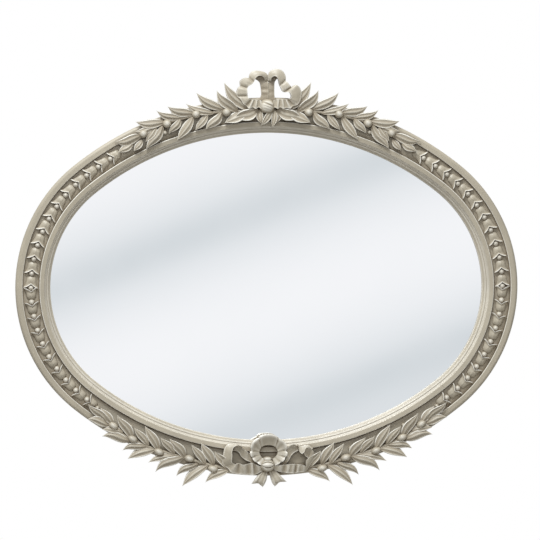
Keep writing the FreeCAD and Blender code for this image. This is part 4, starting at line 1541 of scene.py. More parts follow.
@dataclass
class Ribbon:
    """A ribbon carved from the solid between two wavy edges, its folds given by how far each edge stands up.

    Each row holds the inner edge across and up, the outer edge across and up, all in millimetres from the
    knot, how far the inner and the outer edge stand above the frame's front, and the crown between them.
    The carving goes back as far as its base, which counts from the frame's front towards the wall. Its
    edges are painted pale over a share rim of its width, as wear and as painted highlight, the outer by
    rub_and_highlight and the inner by inner_rub_and_highlight, and a share lip of it lies level at the outer
    one. tone paints the whole ribbon lighter or darker, as painted light and painted shade; a row lower than
    its neighbours is painted darker and a higher one paler, as painted shade and painted highlight, and the
    flutes likewise.
    A crisp under 1 flattens the tops of the folds. Flutes run along it, and from notch_start on its
    middle is drawn back by notch.
    """

    rows: tuple[Row, ...]
    base: float = 0.0
    rim: float = 0.08
    tone: float = 0.0
    rub_and_highlight: float = 0.75
    inner_rub_and_highlight: float = 1.0
    lip: float = 0.0
    crisp: float = 1.0
    steps: int = 5
    flutes: float = 0.0
    notch: float = 0.0
    notch_start: float = 0.55
    edge_rise: float = 0.55
    least_rise: float = 0.8

    ACROSS = (0.0, 0.03, 0.08, 0.16, 0.28, 0.42, 0.58, 0.72, 0.84, 0.92, 0.97, 1.0)

    def carve(self, carving: Carving, knot: Vector, stretch: tuple[float, float] = (1.0, 1.0)) -> None:
        """Adds the ribbon to a carving.

        Args:
            carving: What gathers the shells.
            knot: The knot's middle on the frame's front.
            stretch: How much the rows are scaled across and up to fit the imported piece.
        """
        top: Grid = []
        bottom: Grid = []
        relief: Values = []
        line = spline(self.rows, self.steps)
        last = len(line) - 1
        highs = [(row[4] + row[5]) / 2 for row in line]
        low, span = min(highs), max(max(highs) - min(highs), 0.01)
        flat = [(max(0.0, high - low) / span) ** self.crisp * span + low for high in highs]
        for index, (inner_x, inner_z, outer_x, outer_z, inner_rise, outer_rise, crown) in enumerate(line):
            near = Vector((inner_x * stretch[0], 0.0, inner_z * stretch[1])) * MM
            far = Vector((outer_x * stretch[0], 0.0, outer_z * stretch[1])) * MM
            # Painted shade and painted highlight: a row set lower than the rows three steps round it is
            # painted darker, a higher one paler, on top of the painted light or shade of tone.
            around = (flat[max(0, index - 3)] + flat[min(last, index + 3)]) / 2
            shade = self.tone + 0.6 * max(-1.0, min(0.9, (flat[index] - around) / 2.0))
            lift = flat[index] - highs[index]
            pull = self.notch * smooth_step((index / last - self.notch_start) / (1.0 - self.notch_start))
            upper, lower, proud = [], [], []
            for v in self.ACROSS:
                edge = bump_at(v, 0.0, self.rim) * self.inner_rub_and_highlight + bump_at(v, 1.0, self.rim)
                slope = min(1.0, v / (1.0 - self.lip))
                flute = math.sin(3.0 * math.pi * v) ** 2
                rise = inner_rise + lift + (outer_rise - inner_rise) * slope
                rise += crown * 4.0 * slope * (1.0 - slope)
                rise += self.edge_rise * edge + self.flutes * flute
                place = (knot + near.lerp(far, v)).lerp(knot, pull * (1.0 - abs(2.0 * v - 1.0)))
                upper.append(place + Vector((0.0, -max(rise, self.least_rise) * MM, 0.0)))
                lower.append(place + Vector((0.0, self.base, 0.0)))
                # The flutes' grooves are painted darker as painted shade, and the edges paler as wear and as
                # painted highlight.
                dull = shade + 0.35 * self.flutes * (flute - 0.6)
                proud.append(max(-1.0, min(1.0, dull + (0.9 - dull) * min(1.0, edge) * self.rub_and_highlight)))
            top.append(upper)
            bottom.append(lower)
            relief.append(proud)
        carving.slab(top, bottom, relief)


def carve_dome(
    carving: Carving,
    middle: Vector,
    radii: tuple[float, float],
    height: float,
    shape: Callable[[float, float], float],
) -> None:
    """Adds a rounded boss on the frame's front.

    Args:
        carving: What gathers the shells.
        middle: The boss's middle on the frame's front.
        radii: Half its width and half its height.
        height: How far it stands up.
        shape: What is added to its height, as a share, at a place from -1 to 1 across and up.
    """
    rings, proud = [], []
    count, last, shaded, square = 72, 28, 18, 2.2
    for step in range(last + 1):
        angle = math.pi / 2 * min(0.985, step / last)
        # Painted shade at the boss's foot, fading out over the first shaded rings.
        edge = -0.7 + 1.25 * smooth_step(step / shaded)
        ring = []
        for k in range(count):
            turn = math.tau * k / count
            corner = (abs(math.cos(turn)) ** square + abs(math.sin(turn)) ** square) ** (1 / square)
            reach = math.cos(angle) / corner
            across, up = reach * math.cos(turn), reach * math.sin(turn)
            change = shape(across, up)
            rise = height * (math.sin(angle) ** 0.62) * (1.0 + change * math.sin(angle))
            ring.append(middle + Vector((across * radii[0], -rise, up * radii[1])))
            # Grooves of the shape are painted darker, as painted shade, and swellings paler, as painted
            # highlight.
            proud.append(max(-1.0, min(1.0, edge + 5.0 * change)))
        rings.append(ring)
    start = len(carving.relief)
    carving.tube(rings, [0.0] * len(rings))
    carving.relief[start:] = proud


@dataclass
class TopBow:
    """The bow at the top: a round knot, two curled loops on their risers and a fan of petals below.

    Its tables are in millimetres from the knot's foot. A petal is its root across and up, its tip across
    and up, its width, height, tilt and bow. The loops are reach millimetres high before they are fitted.
    """

    oval: Oval
    moulding: Moulding
    paint: bpy.types.Material
    knot_inset: float = 17 * MM
    knot_shift: float = -1.3 * MM
    knot_radii: tuple[float, float] = (15.0 * MM, 14.2 * MM)
    knot_height: float = 18.8 * MM
    reach: float = 75.8
    headroom: float = 0.3

    PETALS = (
        (-13.5, -7, -10, -36, 14.5, 7.5, 0.25, -0.14),
        (19, -7, 15.5, -35.5, 13.5, 7.5, -0.25, 0.12),
        (13, -6, 8.6, -42.5, 12.5, 10.5, 0.15, 0.06),
        (8, -5, -13.6, -38.6, 13.5, 12.5, -0.15, 0.05),
    )
    RIGHT_RISER = (
        (0.6, 11.2, 14.6, 11.2, 4, 3, 1),
        (0.6, 16.5, 14.2, 16.5, 4.5, 3, 1.3),
        (0.7, 22.4, 13.6, 22.4, 5, 3.4, 1.5),
        (0.8, 28.1, 13.4, 28.1, 4.6, 3, 1.3),
        (1, 35.1, 13.4, 35.1, 5, 3.4, 1.5),
        (1.4, 41.8, 13.6, 41.8, 4.6, 3, 1),
        (2.2, 48.2, 14.2, 48.2, 4, 3, 0.5),
        (3, 53.5, 17.4, 52.8, 2, 2.5, -0.5),
        (5.6, 58.4, 20.4, 56.6, 2, 2.5, -0.5),
        (9.4, 62.4, 19.4, 61, 2, 2.5, 0),
    )
    RIGHT_LOOP = (
        (7, 48, 0.8, 48.6, 6, 3, 0),
        (6.4, 54.1, 0.4, 58.4, 9, 5, 1.5),
        (8.3, 58.3, 3.6, 68.1, 11, 6, 1.8),
        (12.1, 60.2, 10.4, 72.7, 13, 7, 1.8),
        (16.3, 59.2, 19.3, 74.4, 15, 8, 1.8),
        (19.3, 55.6, 28.1, 71.4, 15, 8, 1.8),
        (20.9, 50.3, 33.8, 64, 14, 8, 1.8),
        (22, 45, 35.7, 56.6, 12, 8, 1.8),
        (23.3, 41, 35.5, 51.1, 10, 7.5, 0.5),
        (25.2, 37.6, 39.1, 47.3, 11, 10, 2),
        (28.1, 30.9, 44.6, 41.4, 12, 11, 1.8),
        (32.8, 27.7, 46.7, 37.6, 9, 8, 0.5),
        (38.3, 28.3, 50.1, 40.2, 12, 11, 1.5),
        (42.5, 27.5, 56.9, 42.3, 15, 14, 2),
        (45, 24.1, 63.2, 37.2, 15, 12, 1.8),
        (45.9, 20.3, 66.6, 27.1, 14, 10, 1.8),
        (45.3, 17.1, 66.2, 17.5, 13, 9, 1.8),
        (43.4, 15, 63.2, 8.5, 12, 9, 2),
        (40.8, 14.2, 57.3, 2.1, 10, 9, 1),
        (38.7, 13.7, 49.7, 0, 7, 7, 0),
        (35.7, 13.5, 43.8, -4.7, 12, 12, 1.5),
        (32.4, 13.5, 36.2, -3, 9.2, 9.2, 0),
        (28.6, 13.5, 30.7, -5.1, 12, 12, 1.5),
        (24.3, 13.5, 24.3, -2.1, 9.2, 9.2, 0),
        (20.5, 13.5, 19.3, -5.1, 12, 12, 1.5),
        (16.3, 13.1, 14.2, -2.5, 9.2, 9.2, 0),
        (10.4, 11.2, 8.7, -3.6, 9, 9, 1),
    )
    LEFT_RISER = (
        (-17.9, 11.8, 0.7, 11.8, 2, 4, 1),
        (-14.5, 17.5, 1.3, 17.5, 3, 5.5, 0.8),
        (-12.6, 23.2, 1.5, 23.2, 3.4, 6, 0.6),
        (-12.8, 28.1, 1.5, 28.1, 3.8, 6.4, 1.4),
        (-13.3, 33.8, 1.5, 33.8, 2.8, 6, 0),
        (-14.1, 39.7, 1.5, 39.7, 3.6, 6.4, 0.8),
        (-15.6, 46.5, 1.1, 46.5, 3.2, 6, 0.4),
        (-19.4, 50.8, 0.3, 51.6, 3, 4, 0),
        (-24.4, 54, -1.2, 56.4, 2, 3, -0.5),
        (-25.6, 57.6, -3.8, 61, 2, 3, -0.5),
        (-23, 61.4, -8, 64, 2, 3, 0),
    )
    LEFT_LOOP = (
        (-5.7, 50.3, 0.7, 49.2, 5, 3, 0),
        (-7.4, 56.6, 1.1, 58.8, 8, 5, 1.5),
        (-12, 60, -4, 66.8, 11, 7, 1.8),
        (-17.1, 61.3, -14.6, 70.4, 14, 8, 1.8),
        (-21.7, 59.6, -24.3, 71, 15, 8, 1.8),
        (-25.1, 55.8, -31.9, 68.5, 15, 8, 1.8),
        (-27, 51.1, -36.3, 62.6, 13, 8, 1.8),
        (-28.7, 47.6, -37.8, 56.6, 10, 7.5, 0),
        (-31, 44.8, -43.3, 57.1, 12, 10, 2),
        (-34.9, 42.3, -50.1, 55, 13, 11, 1.8),
        (-38.2, 40.4, -55.1, 50.3, 13, 10, 1.8),
        (-39.9, 38.5, -55.6, 44.4, 11, 8, 1.5),
        (-40.8, 35.9, -55.1, 40.2, 10, 7.5, 0),
        (-41, 32.3, -59.4, 36.4, 12, 10, 2),
        (-40.8, 28.1, -61.9, 30, 13, 10, 1.8),
        (-40.8, 24.1, -62.8, 24.1, 12, 9, 1.8),
        (-40.1, 20.5, -61.1, 19.4, 10, 7.5, 0),
        (-39.5, 17.8, -56.4, 16.1, 11, 10, 1.5),
        (-37.8, 15.6, -52.2, 10.1, 12, 11, 1.8),
        (-35.5, 14.4, -48.4, 4.2, 11, 11, 1.5),
        (-32.7, 13.5, -42, 0, 7, 7, 0),
        (-29.6, 13.1, -37.4, -4.7, 12, 12, 1.5),
        (-26, 13.1, -30.2, -2.1, 9.2, 9.2, 0),
        (-22, 12.9, -24.7, -5.1, 12, 12, 1.5),
        (-18.2, 12.7, -18.4, -2.1, 9.2, 9.2, 0),
        (-14.6, 11.8, -12.9, -5.1, 12, 12, 1.5),
        (-10.3, 9.1, -8.2, -2.5, 9.2, 9.2, 0),
    )

    @property
    def knot(self) -> Vector:
        """The knot's foot on the frame's front, on the mirror's middle line."""
        return Vector((0.0, self.moulding.front, self.oval.half_height - self.knot_inset))

    def wrap(self, across: float, up: float) -> float:
        """The grooves where the ribbon wraps round the knot: one deep, two fine.

        Args:
            across: The place across, from -1 to 1.
            up: The place up, from -1 to 1.

        Returns:
            What they add to the knot's height, as a share.
        """
        deep = -0.13 * bump_at(up + 0.42 * across + 0.15 * across * across, 0.36, 0.09)
        upper = -0.035 * bump_at(up + 0.34 * across, -0.08, 0.06)
        lower = -0.035 * bump_at(up + 0.28 * across, -0.46, 0.06)
        return deep + upper + lower

    def build_loops(self) -> None:
        """Builds the two loops, which differ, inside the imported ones' height."""
        room = (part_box("top_bow_loop_right")[1].z - self.knot.z) / MM - self.headroom
        stretch = (1.0, min(1.0, room / self.reach))
        for side, riser, loop in (
            ("right", self.RIGHT_RISER, self.RIGHT_LOOP),
            ("left", self.LEFT_RISER, self.LEFT_LOOP),
        ):
            carving = Carving()
            # The risers are painted darker, as painted shade under the curls, and the loops a little paler,
            # as painted light.
            Ribbon(riser, tone=-0.5, rub_and_highlight=0.45, inner_rub_and_highlight=0.3).carve(carving, self.knot, stretch)
            Ribbon(loop, tone=0.12, rub_and_highlight=0.5, crisp=0.5).carve(carving, self.knot, stretch)
            ribbon = carving.piece(f"top_ribbon_{side}", SHARP_CREASE)
            finish_casting(ribbon, self.paint, f"top_bow_loop_{side}")

    def build_knot(self) -> None:
        """Builds the knot, with the grooves where the ribbon wraps round."""
        carving = Carving()
        middle = self.knot + Vector((self.knot_shift, 0.0, 0.0))
        carve_dome(carving, middle, self.knot_radii, self.knot_height, self.wrap)
        finish_casting(carving.piece("top_knot"), self.paint, "top_bow_knot")

    def build_petals(self) -> None:
        """Builds the petals that fan out below the knot."""
        carving = Carving()
        for root_x, root_z, tip_x, tip_z, width, height, tilt, bow in self.PETALS:
            root = self.knot + Vector((root_x, 0.0, root_z)) * MM
            tip = self.knot + Vector((tip_x, 0.0, tip_z)) * MM
            Leaf(root, tip, width * MM, height * MM, tilt=tilt, bow=bow).carve(carving)
        finish_casting(carving.piece("top_petals", SHARP_CREASE), self.paint, "top_bow_petals")

    def build(self) -> None:
        """Builds the whole bow."""
        self.build_loops()
        self.build_knot()
        self.build_petals()


@dataclass
class BottomBow:
    """The bow at the bottom: a domed knot, a tall middle loop, a curled loop on each side and two tails.

    Its tables are in millimetres from the knot. The middle loop's has its left half, which is mirrored.
    """

    oval: Oval
    moulding: Moulding
    paint: bpy.types.Material
    knot_inset: float = 21 * MM
    knot_shift: float = -0.5 * MM
    knot_radii: tuple[float, float] = (14.8 * MM, 12.6 * MM)
    knot_height: float = 19 * MM
    crown_place: float = 0.98
    crown_radii: tuple[float, float] = (0.62, 0.42)
    crown_height: float = 0.74
    loop_depth: float = 9 * MM

    CENTRE_LEFT = (
        (2, 40.4, 2, 61.4, 7, 16, -1.5),
        (-5.4, 39.6, -8.6, 60.4, 7, 16, -1.5),
        (-10.8, 37.4, -15.6, 57.2, 7.5, 15.5, -0.5),
        (-12.2, 36, -17.2, 54.4, 7, 11, 0.4),
        (-13.2, 34.6, -21.8, 52.4, 7.5, 15, -0.5),
        (-14.9, 31, -30.2, 45.6, 6.5, 16, -2),
        (-16, 29.1, -34.2, 36.2, 7, 15, -0.5),
        (-16.4, 27.4, -32.8, 29.6, 7, 11, 0.4),
        (-16.3, 26, -35, 25.6, 7, 14.5, -0.5),
        (-15.6, 23, -33.6, 19.4, 7, 14.5, -0.8),
        (-14.9, 21.4, -31, 16.2, 7, 10.5, 0.4),
        (-14, 19.6, -29.6, 12.2, 7.5, 13.5, -0.5),
        (-12.2, 17.2, -25.4, 7.8, 7.5, 13.5, -0.8),
        (-11, 15.8, -21.5, 6.2, 7, 10, 0.4),
        (-9, 14.4, -17.6, 2.8, 8, 12.5, -0.5),
        (-5.4, 12.8, -10.9, 0.3, 9, 11, 0.6),
    )
    LEFT_RISER = (
        (-14.5, 7, -14.5, -3, 4, 3, 0),
        (-27, 14, -27, 2, 5, 3, 0),
        (-35, 23.5, -35, 7, 5, 3, 0.5),
        (-39.5, 27, -43.5, 11, 8, 3, -1),
        (-45, 31.5, -52, 18, 5, 3, 0.5),
        (-49, 34, -56, 25, 8, 3, -1),
        (-51, 37.5, -63, 29, 9, 2, -2),
        (-56, 41.5, -68, 29, 9, 2, -2),
        (-61.5, 42.5, -70, 28, 9, 2, -2),
    )
    LEFT_BAND = (
        (-50, 33.5, -49, 35, 10, 9, 0.5),
        (-53, 39, -54, 41, 11, 9, 0.5),
        (-60, 40.5, -61.5, 43, 12, 9, 0.5),
        (-67, 37.5, -72.5, 43, 13, 8, 1),
        (-70, 32.5, -81, 40.5, 14, 8, 2),
        (-71.5, 26.5, -86, 33.5, 15, 8, 3),
        (-71, 19.5, -88, 23.5, 15, 8, 3),
        (-71.5, 12.5, -90, 14, 14, 7, 3),
        (-71.5, 7.5, -90, 5.5, 12, 6, 2),
        (-68.5, 5, -85, -1.5, 10, 5, 1),
        (-64.5, 2.5, -78.5, -5.5, 11, 6, 0),
        (-61, 4, -72.5, -13, 12, 7, 1),
        (-56.5, 5, -59, -16.5, 9, 5, 0),
        (-52.5, 3, -52, -16.5, 11, 7, 1),
        (-48.5, 1.5, -45, -18, 12, 7, 1),
        (-38, 3.5, -37.5, -18, 9, 5, 0),
        (-31, 5.5, -29.5, -19, 12, 7, 1),
        (-27.5, 3.5, -24, -18, 9, 5, 0),
        (-18.5, 0, -15.5, -14, 11, 7, 1),
        (-11, -3, -9, -9.5, 10, 6, 0),
    )
    RIGHT_RISER = (
        (13.5, 1.5, 15, -4, 4, 3, 0),
        (27.5, 4, 27.5, -0.5, 5, 3, 0),
        (36, 11, 36, 3, 5, 3, 0.5),
        (38.5, 21, 42.5, 9.5, 8, 3, -1),
        (39, 30.5, 47, 18, 5, 3, 0.5),
        (42.5, 37.5, 52, 23.5, 9, 2, -2),
        (48.5, 41.5, 57.5, 27, 9, 2, -2),
        (55, 41.5, 61.5, 28.5, 9, 2, -2),
    )
    RIGHT_WAVE = (
        (58.5, 43, 58, 43.5, 10, 9, 0),
        (61, 37.5, 62, 41, 12, 8, 0.5),
        (62.5, 29, 65.5, 38.5, 14, 8, 1),
        (67.5, 23.5, 70.5, 38.5, 15, 8, 1.5),
        (72.5, 27, 76, 39.5, 14, 8, 1),
        (76, 34, 81, 40, 12, 8, 0.5),
        (82.5, 36, 85, 38.5, 11, 9, 0),
        (89.5, 32, 90.5, 35, 11, 9, 0),
    )
    RIGHT_INNER = (
        (74.5, 33.5, 72.5, 25.5, 9, 2, -1),
        (81.5, 35.5, 74.5, 19.5, 10, 2, -2),
        (88.5, 32, 79.5, 15, 11, 2, -2),
        (90, 21, 82.5, 14, 11, 4, -1),
    )
    RIGHT_BAND = (
        (89.5, 30.5, 91.5, 29, 11, 8, 0),
        (88, 19.5, 92.6, 23.5, 13, 8, 0.5),
        (81.5, 14.5, 91.5, 14, 14, 8, 1.5),
        (77, 9, 88.5, 5.5, 14, 7, 2),
        (76, 3, 83, -3, 13, 6, 2),
        (76, -3, 79, -9.5, 11, 6, 1),
        (72.5, 0, 72, -12.5, 13, 8, 1),
        (67.5, 1.5, 65, -13.5, 11.5, 7, 0.5),
        (62, 1.5, 59.5, -14, 12, 8, 1),
        (57.5, 2, 55, -15, 9, 5, 0),
        (52.5, 2.5, 49.5, -15.5, 12, 8, 1),
        (47.5, 2.5, 45, -15.5, 11, 7, 0.5),
        (42.5, 2, 40, -15, 12, 8, 1),
        (34.5, 1.5, 32.5, -14, 9, 5, 0),
        (26, 0.5, 24.5, -12.5, 12, 8, 1),
        (19, 0, 17.5, -10.5, 11, 7, 0.5),
        (11, -0.5, 11, -7, 10, 6, 0),
    )
    LEFT_TAIL = (
        (-10.5, -10.2, 0, -11.9, 4, 4, 1),
        (-16.3, -16.6, -0.4, -20.8, 5, 5, 1.5),
        (-20.7, -22.1, -2.1, -28.8, 6, 6, 2),
        (-25.3, -28, -5.1, -36, 6, 6, 2),
        (-29.1, -33.5, -7.8, -40.6, 4, 4, 1),
        (-31.3, -36.6, -9.1, -43, 2, 2, 0),
    )
    RIGHT_TAIL = (
        (3.8, -11.9, 15.2, -9, 4, 4, 1),
        (5.1, -20.8, 21.6, -15.3, 5, 5, 1.5),
        (7.4, -28.8, 26.7, -20.8, 6, 6, 2),
        (10.2, -36, 31.7, -26.3, 6, 6, 2),
        (13.5, -40.2, 36, -30.5, 4, 4, 1),
        (14.8, -42.1, 38.9, -32.6, 2, 2, 0),
    )

    @property
    def knot(self) -> Vector:
        """The knot's middle on the frame's front."""
        return Vector((self.knot_shift, self.moulding.front, self.knot_inset - self.oval.half_height))

    def build_side_loops(self) -> None:
        """Builds the curled loop on each side of the knot, which differ."""
        # Each side loop is painted a little paler by its tone, as painted light.
        for side, tone, ribbons in (
            ("left", 0.05, (self.LEFT_RISER, self.LEFT_BAND)),
            ("right", 0.14, (self.RIGHT_RISER, self.RIGHT_WAVE, self.RIGHT_INNER, self.RIGHT_BAND)),
        ):
            carving = Carving()
            for rows in ribbons:
                Ribbon(rows, tone=tone, crisp=0.7).carve(carving, self.knot)
            ribbon = carving.piece(f"bottom_ribbon_{side}", SHARP_CREASE)
            finish_casting(ribbon, self.paint, f"bottom_bow_loop_{side}")

    def build_centre_loop(self) -> None:
        """Builds the tall middle loop, whose two halves mirror each other."""
        middle = 2.0 * self.CENTRE_LEFT[0][0]
        right = [(middle - row[0], row[1], middle - row[2], *row[3:]) for row in self.CENTRE_LEFT[1:]]
        rows = (*reversed(self.CENTRE_LEFT), *right)
        carving = Carving()
        # The middle loop is painted paler by its tone, as painted light, and its outer rim paler, as wear
        # and as painted highlight.
        ring = Ribbon(rows, base=self.loop_depth, rim=0.2, tone=0.16, rub_and_highlight=1.0, inner_rub_and_highlight=0.0, lip=0.15)
        ring.carve(carving, self.knot)
        ribbon = carving.piece("bottom_ribbon_middle", SHARP_CREASE)
        finish_casting(ribbon, self.paint, "bottom_bow_centre_loop")

    def fold(self, across: float, up: float) -> float:
        """The fold that crosses the knot: two grooves that part like lids, with a swelling between them.

        Args:
            across: The place across, from -1 to 1.
            up: The place up, from -1 to 1.

        Returns:
            What it adds to the knot's height, as a share.
        """
        lid = 0.46 * max(0.02, 1.0 - (across / 0.90) ** 2)
        place = abs(up - 0.12) / lid
        if place > 2.2:
            return 0.0
        return 0.05 * bump_at(place, 0.0, 0.5) - 0.15 * bump_at(place, 0.95, 0.15)

    def build_knot(self) -> None:
        """Builds the knot, with the fold that crosses it and a small dome above."""
        carving = Carving()
        carve_dome(carving, self.knot, self.knot_radii, self.knot_height, self.fold)
        crown = self.knot + Vector((0.0, 0.0, self.knot_radii[1] * self.crown_place))
        radii = (self.knot_radii[0] * self.crown_radii[0], self.knot_radii[1] * self.crown_radii[1])
        carve_dome(carving, crown, radii, self.knot_height * self.crown_height, lambda across, up: 0.0)
        finish_casting(carving.piece("bottom_knot"), self.paint, "bottom_bow_knot")

    def build_tails(self) -> None:
        """Builds the two fluted tails with notched ends."""
        for side, rows in (("left", self.LEFT_TAIL), ("right", self.RIGHT_TAIL)):
            carving = Carving()
            # The tails are painted paler by their tone, as painted light.
            Ribbon(rows, tone=0.2, flutes=2.2, notch=0.11, steps=6).carve(carving, self.knot)
            tail = carving.piece(f"bottom_ribbon_tail_{side}", SHARP_CREASE)
            finish_casting(tail, self.paint, f"bottom_bow_tail_{side}")

    def build(self) -> None:
        """Builds the whole bow."""
        self.build_side_loops()
        self.build_centre_loop()
        self.build_knot()
        self.build_tails()


class Backing:
    """The glass and what lies behind the frame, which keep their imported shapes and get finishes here.

    A node takes the finish of the first entry that its name starts with.
    """

    ZINC_PLATE = PlainMetal("zinc_plate", (0.62, 0.63, 0.62, 1.0), 0.38)
    BRIGHT_WIRE = PlainMetal("bright_wire", (0.70, 0.69, 0.66, 1.0), 0.25)
    SCREW_STEEL = PlainMetal("screw_steel", (0.52, 0.50, 0.46, 1.0), 0.33)
    RUBBER = SheetStock("rubber", (0.045, 0.045, 0.047, 1), (0.02, 0.02, 0.021, 1), 420.0, 0.05 * MM, 0.72)
    HARDBOARD = SheetStock("hardboard", (0.3, 0.175, 0.09, 1), (0.2, 0.11, 0.055, 1), 700.0, 0.06 * MM, 0.6)
    FELT = SheetStock("packing_felt", (0.33, 0.33, 0.32, 1), (0.2, 0.2, 0.2, 1), 900.0, 0.2 * MM, 0.95)
    PLY = SheetStock("birch_ply", (0.62, 0.48, 0.31, 1), (0.50, 0.36, 0.22, 1), 250.0, 0.05 * MM, 0.7)
    FINISHES = {
        "mirror_glass": SilveredGlass(),
        "backboard": HARDBOARD,
        "packing_sheet": FELT,
        "tongue_": PLY,
        "turn_button_screw_": SCREW_STEEL,
        "turn_button_": ZINC_PLATE,
        "hanger_screws_": SCREW_STEEL,
        "hanger_strap_": ZINC_PLATE,
        "hanger_ring_": BRIGHT_WIRE,
        "wall_bumper_": RUBBER,
    }

    def build(self) -> None:
        """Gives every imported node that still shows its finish."""
        finishes = dict.fromkeys(self.FINISHES.values())
        materials = {finish.name: finish.material() for finish in finishes}
        for name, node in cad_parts.items():
            start = next((start for start in self.FINISHES if name.startswith(start)), None)
            if start:
                dress(node, materials[self.FINISHES[start].name])
                log.info("%s dressed", name)


@dataclass
class Studio:
    """The plain studio: camera, lamps, floor and the pale room that the glass reflects.

    The camera stands at an azimuth and an elevation in degrees and sees seen_width at its aim. The soft
    light of the room grows from light_below to light_above between two heights of the view's direction.
    The glass sees bands of grey: band_slant leans them, band_span is the part of the view that shows in
    it, and each stop is a place in that part and a grey.
    """

    distance: float = 16.0
    azimuth: float = -5.72
    elevation: float = 2.31
    seen_width: float = 1.0697
    aim: tuple[float, float, float] = (0.0051, -0.033, 0.0334)
    floor_level: float = -1.8
    floor_half: float = 1.8
    floor_tones: tuple[Colour, Colour] = ((0.80, 0.80, 0.79, 1.0), (0.86, 0.86, 0.85, 1.0))
    key_place: tuple[float, float, float] = (-1.1, -2.1, 3.95)
    key_power: float = 243.0
    key_size: float = 1.8
    fill_place: tuple[float, float, float] = (-0.4, -4.2, 1.75)
    fill_power: float = 36.0
    fill_size: float = 1.4
    lamp_colour: tuple[float, float, float] = (0.93, 0.975, 1.0)
    room_colour: Colour = (1.0, 0.975, 0.90, 1.0)
    light_heights: tuple[float, float] = (-0.6, 0.8)
    light_below: float = 0.235
    light_above: float = 0.46
    band_slant: tuple[float, float, float] = (-0.40, 0.0, 1.0)
    band_span: tuple[float, float] = (-0.1049, -0.0611)
    palest: float = 0.945
    darkest: float = 0.705

    STOPS = (
        (0.0, 0.78),
        (0.07, 0.76),
        (0.15, 0.705),
        (0.21, 0.80),
        (0.29, 0.885),
        (0.45, 0.945),
        (0.60, 0.895),
        (0.68, 0.81),
        (0.75, 0.71),
        (0.83, 0.82),
        (0.91, 0.90),
        (1.0, 0.945),
    )

    def camera(self) -> None:
        """Sets the camera at the photograph's angle, with a long lens."""
        data = bpy.data.cameras.new("camera")
        data.sensor_width = 36.0
        data.lens = data.sensor_width * self.distance / self.seen_width
        data.clip_end = 100.0
        turn, lift = math.radians(self.azimuth), math.radians(self.elevation)
        back = Vector((math.sin(turn) * math.cos(lift), -math.cos(turn) * math.cos(lift), math.sin(lift)))
        eye = self.stand("camera", data, Vector(self.aim) + back * self.distance, -back)
        bpy.context.scene.camera = eye

    def stand(self, name: str, data: bpy.types.ID, place: Vector, towards: Vector) -> bpy.types.Object:
        """Stands a camera or a lamp in the studio.

        Args:
            name: The object's name.
            data: The camera or the lamp.
            place: Where it stands.
            towards: The direction in which it looks.

        Returns:
            The object.
        """
        obj = bpy.data.objects.new(name, data)
        bpy.context.scene.collection.objects.link(obj)
        obj.location = place
        obj.rotation_mode = "QUATERNION"
        obj.rotation_quaternion = towards.to_track_quat("-Z", "Y")
        return obj

    def lamp(self, name: str, place: tuple[float, float, float], size: float, power: float) -> None:
        """Adds a square soft lamp that points at the mirror.

        Args:
            name: The lamp's name.
            place: Where it stands.
            size: The length of its side.
            power: Its power in watts.
        """
        data = bpy.data.lights.new(name, "AREA")
        data.shape = "SQUARE"
        data.size = size
        data.energy = power
        data.color = self.lamp_colour
        self.stand(name, data, Vector(place), -Vector(place))

    def floor(self) -> None:
        """Lays the plain pale floor."""
        shader = Shader("pale_floor")
        material = shader.dress(Base_Color=shader.mix(shader.noise(3.0), *self.floor_tones), Roughness=0.8)
        half = self.floor_half
        corners = ((-half, -half), (half, -half), (half, half), (-half, half))
        mesh = bpy.data.meshes.new("floor")
        mesh.from_pydata([(x, y, self.floor_level) for x, y in corners], [], [(0, 1, 2, 3)])
        mesh.materials.append(material)
        place_mesh("floor", mesh)

    def room(self) -> None:
        """Lights the room evenly, keeps the background white and gives the glass its soft bands."""
        world = bpy.data.worlds.new("room")
        bpy.context.scene.world = world
        world.use_nodes = True
        world.node_tree.nodes.clear()
        room = NodeTree(world.node_tree)
        ray = room.node("ShaderNodeLightPath").outputs
        direction = room.node("ShaderNodeTexCoord").outputs["Generated"]
        height = room.node("ShaderNodeSeparateXYZ", {0: direction}).outputs["Z"]
        strength = room.span(height, *self.light_heights, self.light_below, self.light_above)
        soft = room.node("ShaderNodeBackground", {"Color": self.room_colour, "Strength": strength})
        white = room.node("ShaderNodeBackground", {"Color": WHITE})
        banded = room.node("ShaderNodeBackground", {"Color": self.bands(room, direction)})
        shiny = room.math("MAXIMUM", ray["Is Glossy Ray"], ray["Is Transmission Ray"])
        around = room.node("ShaderNodeMixShader", {0: shiny, 1: soft.outputs[0], 2: banded.outputs[0]})
        seen = room.node(
            "ShaderNodeMixShader", {0: ray["Is Camera Ray"], 1: around.outputs[0], 2: white.outputs[0]}
        )
        room.node("ShaderNodeOutputWorld", {"Surface": seen.outputs[0]})

    def bands(self, room: NodeTree, direction: bpy.types.NodeSocket) -> bpy.types.NodeSocket:
        """The pale room that the glass reflects: soft slanting bands of light and grey.

        Args:
            room: The world's node tree.
            direction: The direction of the view.

        Returns:
            The colour seen in each direction.
        """
        slant = room.node(
            "ShaderNodeVectorMath", {0: direction, 1: self.band_slant}, operation="DOT_PRODUCT"
        ).outputs["Value"]
        place = room.span(slant, *self.band_span, 0.0, 1.0)
        ramp = room.node("ShaderNodeValToRGB", {"Fac": place})
        stops = ramp.color_ramp.elements
        ramp.color_ramp.interpolation = "CARDINAL"
        while len(stops) < len(self.STOPS):
            stops.new(0.5)
        for stop, (spot, grey) in zip(stops, self.STOPS):
            dull = (self.palest - grey) / (self.palest - self.darkest)
            stop.position = spot
            stop.color = (grey * (1.0 - 0.05 * dull), grey, min(1.0, grey * (1.02 + 0.02 * dull)), 1.0)
        return ramp.outputs["Color"]

    def build(self) -> None:
        """Sets up the whole studio."""
        bpy.context.scene.view_settings.view_transform = "Standard"
        self.camera()
        self.floor()
        self.room()
        self.lamp("key", self.key_place, self.key_size, self.key_power)
        self.lamp("fill", self.fill_place, self.fill_size, self.fill_power)


